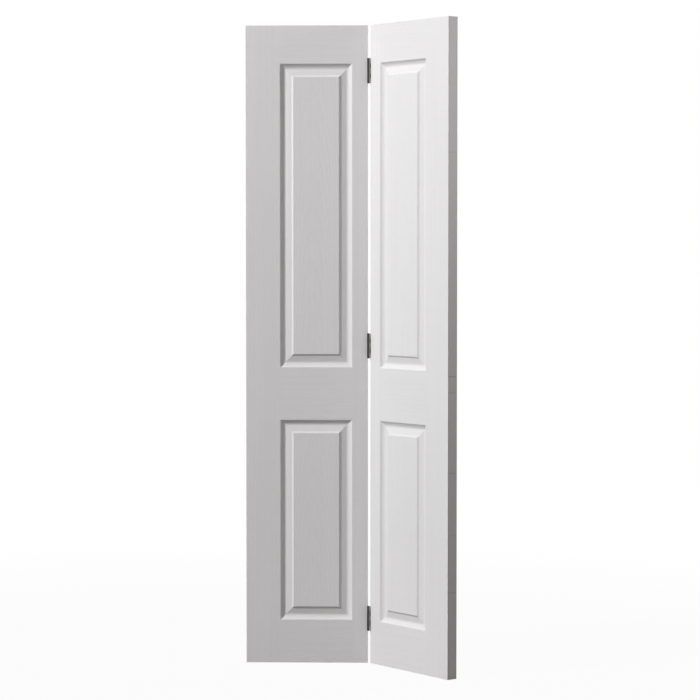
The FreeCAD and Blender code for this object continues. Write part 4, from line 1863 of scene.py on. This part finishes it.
@dataclass
class Studio:
    """Pale floor, white surroundings, soft lamps and the camera.

    Attributes:
        lamps: The lamps.
        ambient: Light from the surroundings.
        floor_size: Side of the floor.
        floor_colour: Colour of the floor.
        floor_fade: Distances from the door at which the floor starts to fade and is white.
        floor_shadow: How much of the door's shadow the floor keeps next to the door.
        camera_place: Where the camera stands.
        camera_turn: Its turn, in degrees.
        lens: Its focal length in millimetres.
        sensor: Width of its sensor in millimetres.
    """

    lamps: tuple[SoftBox, ...] = (
        SoftBox("key_lamp", (-6.00, -4.03, 5.91), (0.3, -0.1, 1.0), 1.0, 1.0, 845.0),
        SoftBox("edge_lamp", (1.9, -0.80, 1.95), (0.6, -0.32, 1.95), 0.4, 0.4, 6.3),
        SoftBox("top_lamp", (0.1, -2.2, 3.3), (0.17, 0.0, 1.6), 0.8, 0.8, 5.2, FILL_COLOUR),
        SoftBox("front_lamp", (0.3, -6.0, 1.2), (0.3, -0.1, 1.0), 2.5, 2.5, 18.0, FILL_COLOUR),
        SoftBox("low_lamp", (3.2, -2.6, 0.4), (0.4, -0.2, 1.0), 1.2, 1.2, 3.7, FILL_COLOUR),
        SoftBox("floor_glow", (0.25, -0.46, 0.06), (0.25, 0.0, 0.10), 0.4, 0.08, 0.09, FILL_COLOUR),
        SoftBox("back_lamp", (3.2, 3.8, 3.0), (0.3, 0.0, 1.0), 2.4, 2.4, 240.0),
    )
    ambient: float = 0.01
    floor_size: float = 60.0
    floor_colour: Colour = (0.2, 0.2, 0.2)
    floor_fade: Pair = (1.2, 3.5)
    floor_shadow: float = 0.04
    camera_place: Point = (0.4944, -7.6126, 1.3014)
    camera_turn: Point = (90.0 - 2.443, 0.0, 1.434)
    lens: float = 125.92
    sensor: float = 36.0

    def build(self) -> None:
        """Set the studio up."""
        self.lay_floor()
        self.light_surroundings()
        for lamp in self.lamps:
            lamp.hang()
        self.set_camera()

    @staticmethod
    def seen(tree: Tree) -> Socket:
        """Find what is seen by the camera, in a mirror or through glass.

        Args:
            tree: The tree of a surface or of the world.

        Returns:
            1 where it is seen so, and 0 where it only lights other things.
        """
        path = tree.add("ShaderNodeLightPath")
        seen = tree.sum_of("MAXIMUM", path.outputs["Is Camera Ray"], path.outputs["Is Glossy Ray"])
        return tree.sum_of("MAXIMUM", seen, path.outputs["Is Transmission Ray"])

    def lay_floor(self) -> None:
        """Lay a pale floor that keeps the door's shadow and fades to white round it."""
        half = self.floor_size / 2
        work = bmesh.new()
        corners = ((-half, -half), (half, -half), (half, half), (-half, half))
        work.faces.new([work.verts.new((x, y, 0.0)) for x, y in corners])
        floor = bpy.data.objects.new("floor", as_mesh(work, "floor"))
        bpy.context.scene.collection.objects.link(floor)
        shader = Shader("pale_floor")
        away = shader.between(shader.vector_sum("LENGTH", shader.object_place()), *self.floor_fade)
        share = shader.weighed(1.0 - self.floor_shadow, (away, self.floor_shadow))
        matt = shader.result("ShaderNodeBsdfDiffuse", Color=self.floor_colour, Roughness=0.5)
        glow = shader.result("ShaderNodeEmission", Color=WHITE, Strength=1.0)
        share = shader.sum_of("MULTIPLY", share, self.seen(shader))
        mixed = shader.result("ShaderNodeMixShader", None, share, matt, glow)
        shader.add("ShaderNodeOutputMaterial", Surface=mixed)
        floor.data.materials.append(shader.material)
        floor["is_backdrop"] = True

    def light_surroundings(self) -> None:
        """Surround the scene with white to the eye and soft light elsewhere."""
        world = bpy.data.worlds.new("studio")
        world.use_nodes = True
        bpy.context.scene.world = world
        tree = Tree(world.node_tree)
        soft = tree.result("ShaderNodeBackground", Color=WHITE, Strength=self.ambient)
        white = tree.result("ShaderNodeBackground", Color=WHITE, Strength=1.0)
        mixed = tree.result("ShaderNodeMixShader", None, self.seen(tree), soft, white)
        tree.add("ShaderNodeOutputWorld", Surface=mixed)

    def set_camera(self) -> None:
        """Stand the camera in front of the door."""
        data = bpy.data.cameras.new("camera")
        data.lens = self.lens
        data.sensor_width = self.sensor
        camera = bpy.data.objects.new("camera", data)
        camera.location = self.camera_place
        camera.rotation_euler = [math.radians(turn) for turn in self.camera_turn]
        bpy.context.scene.collection.objects.link(camera)
        bpy.context.scene.camera = camera


def plain(bounds: object) -> object:
    """Turn bounds, vectors or lists of them into plain nested lists of numbers."""
    return [plain(part) for part in bounds] if hasattr(bounds, "__len__") else float(bounds)


def main() -> None:
    """Build the door and its studio."""
    logging.basicConfig(level=logging.INFO, format="%(name)s: %(message)s")
    cad_bounds = plain(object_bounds())
    bpy.context.scene.view_settings.view_transform = "Standard"
    pins = Pins.from_joint(frame["joints"][0])
    box = LeafBox.from_frame(pins)
    finishes = Finishes()
    screw = Screw()
    pattern = screw.make()
    hinges = [ButtHinge(place, pins, finishes, screw, pattern) for place in ("bottom", "middle", "top")]
    mortises = [(hinge.foot, hinge.foot + hinge.height) for hinge in hinges]
    for hand in Hand:
        Leaf(hand, pins, box, finishes).build(mortises)
    for hinge in hinges:
        hinge.build()
    bpy.data.objects.remove(pattern)
    Studio().build()
    {"cad": cad_bounds, "visual": plain(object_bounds())}


if __name__ == "__main__":
    main()
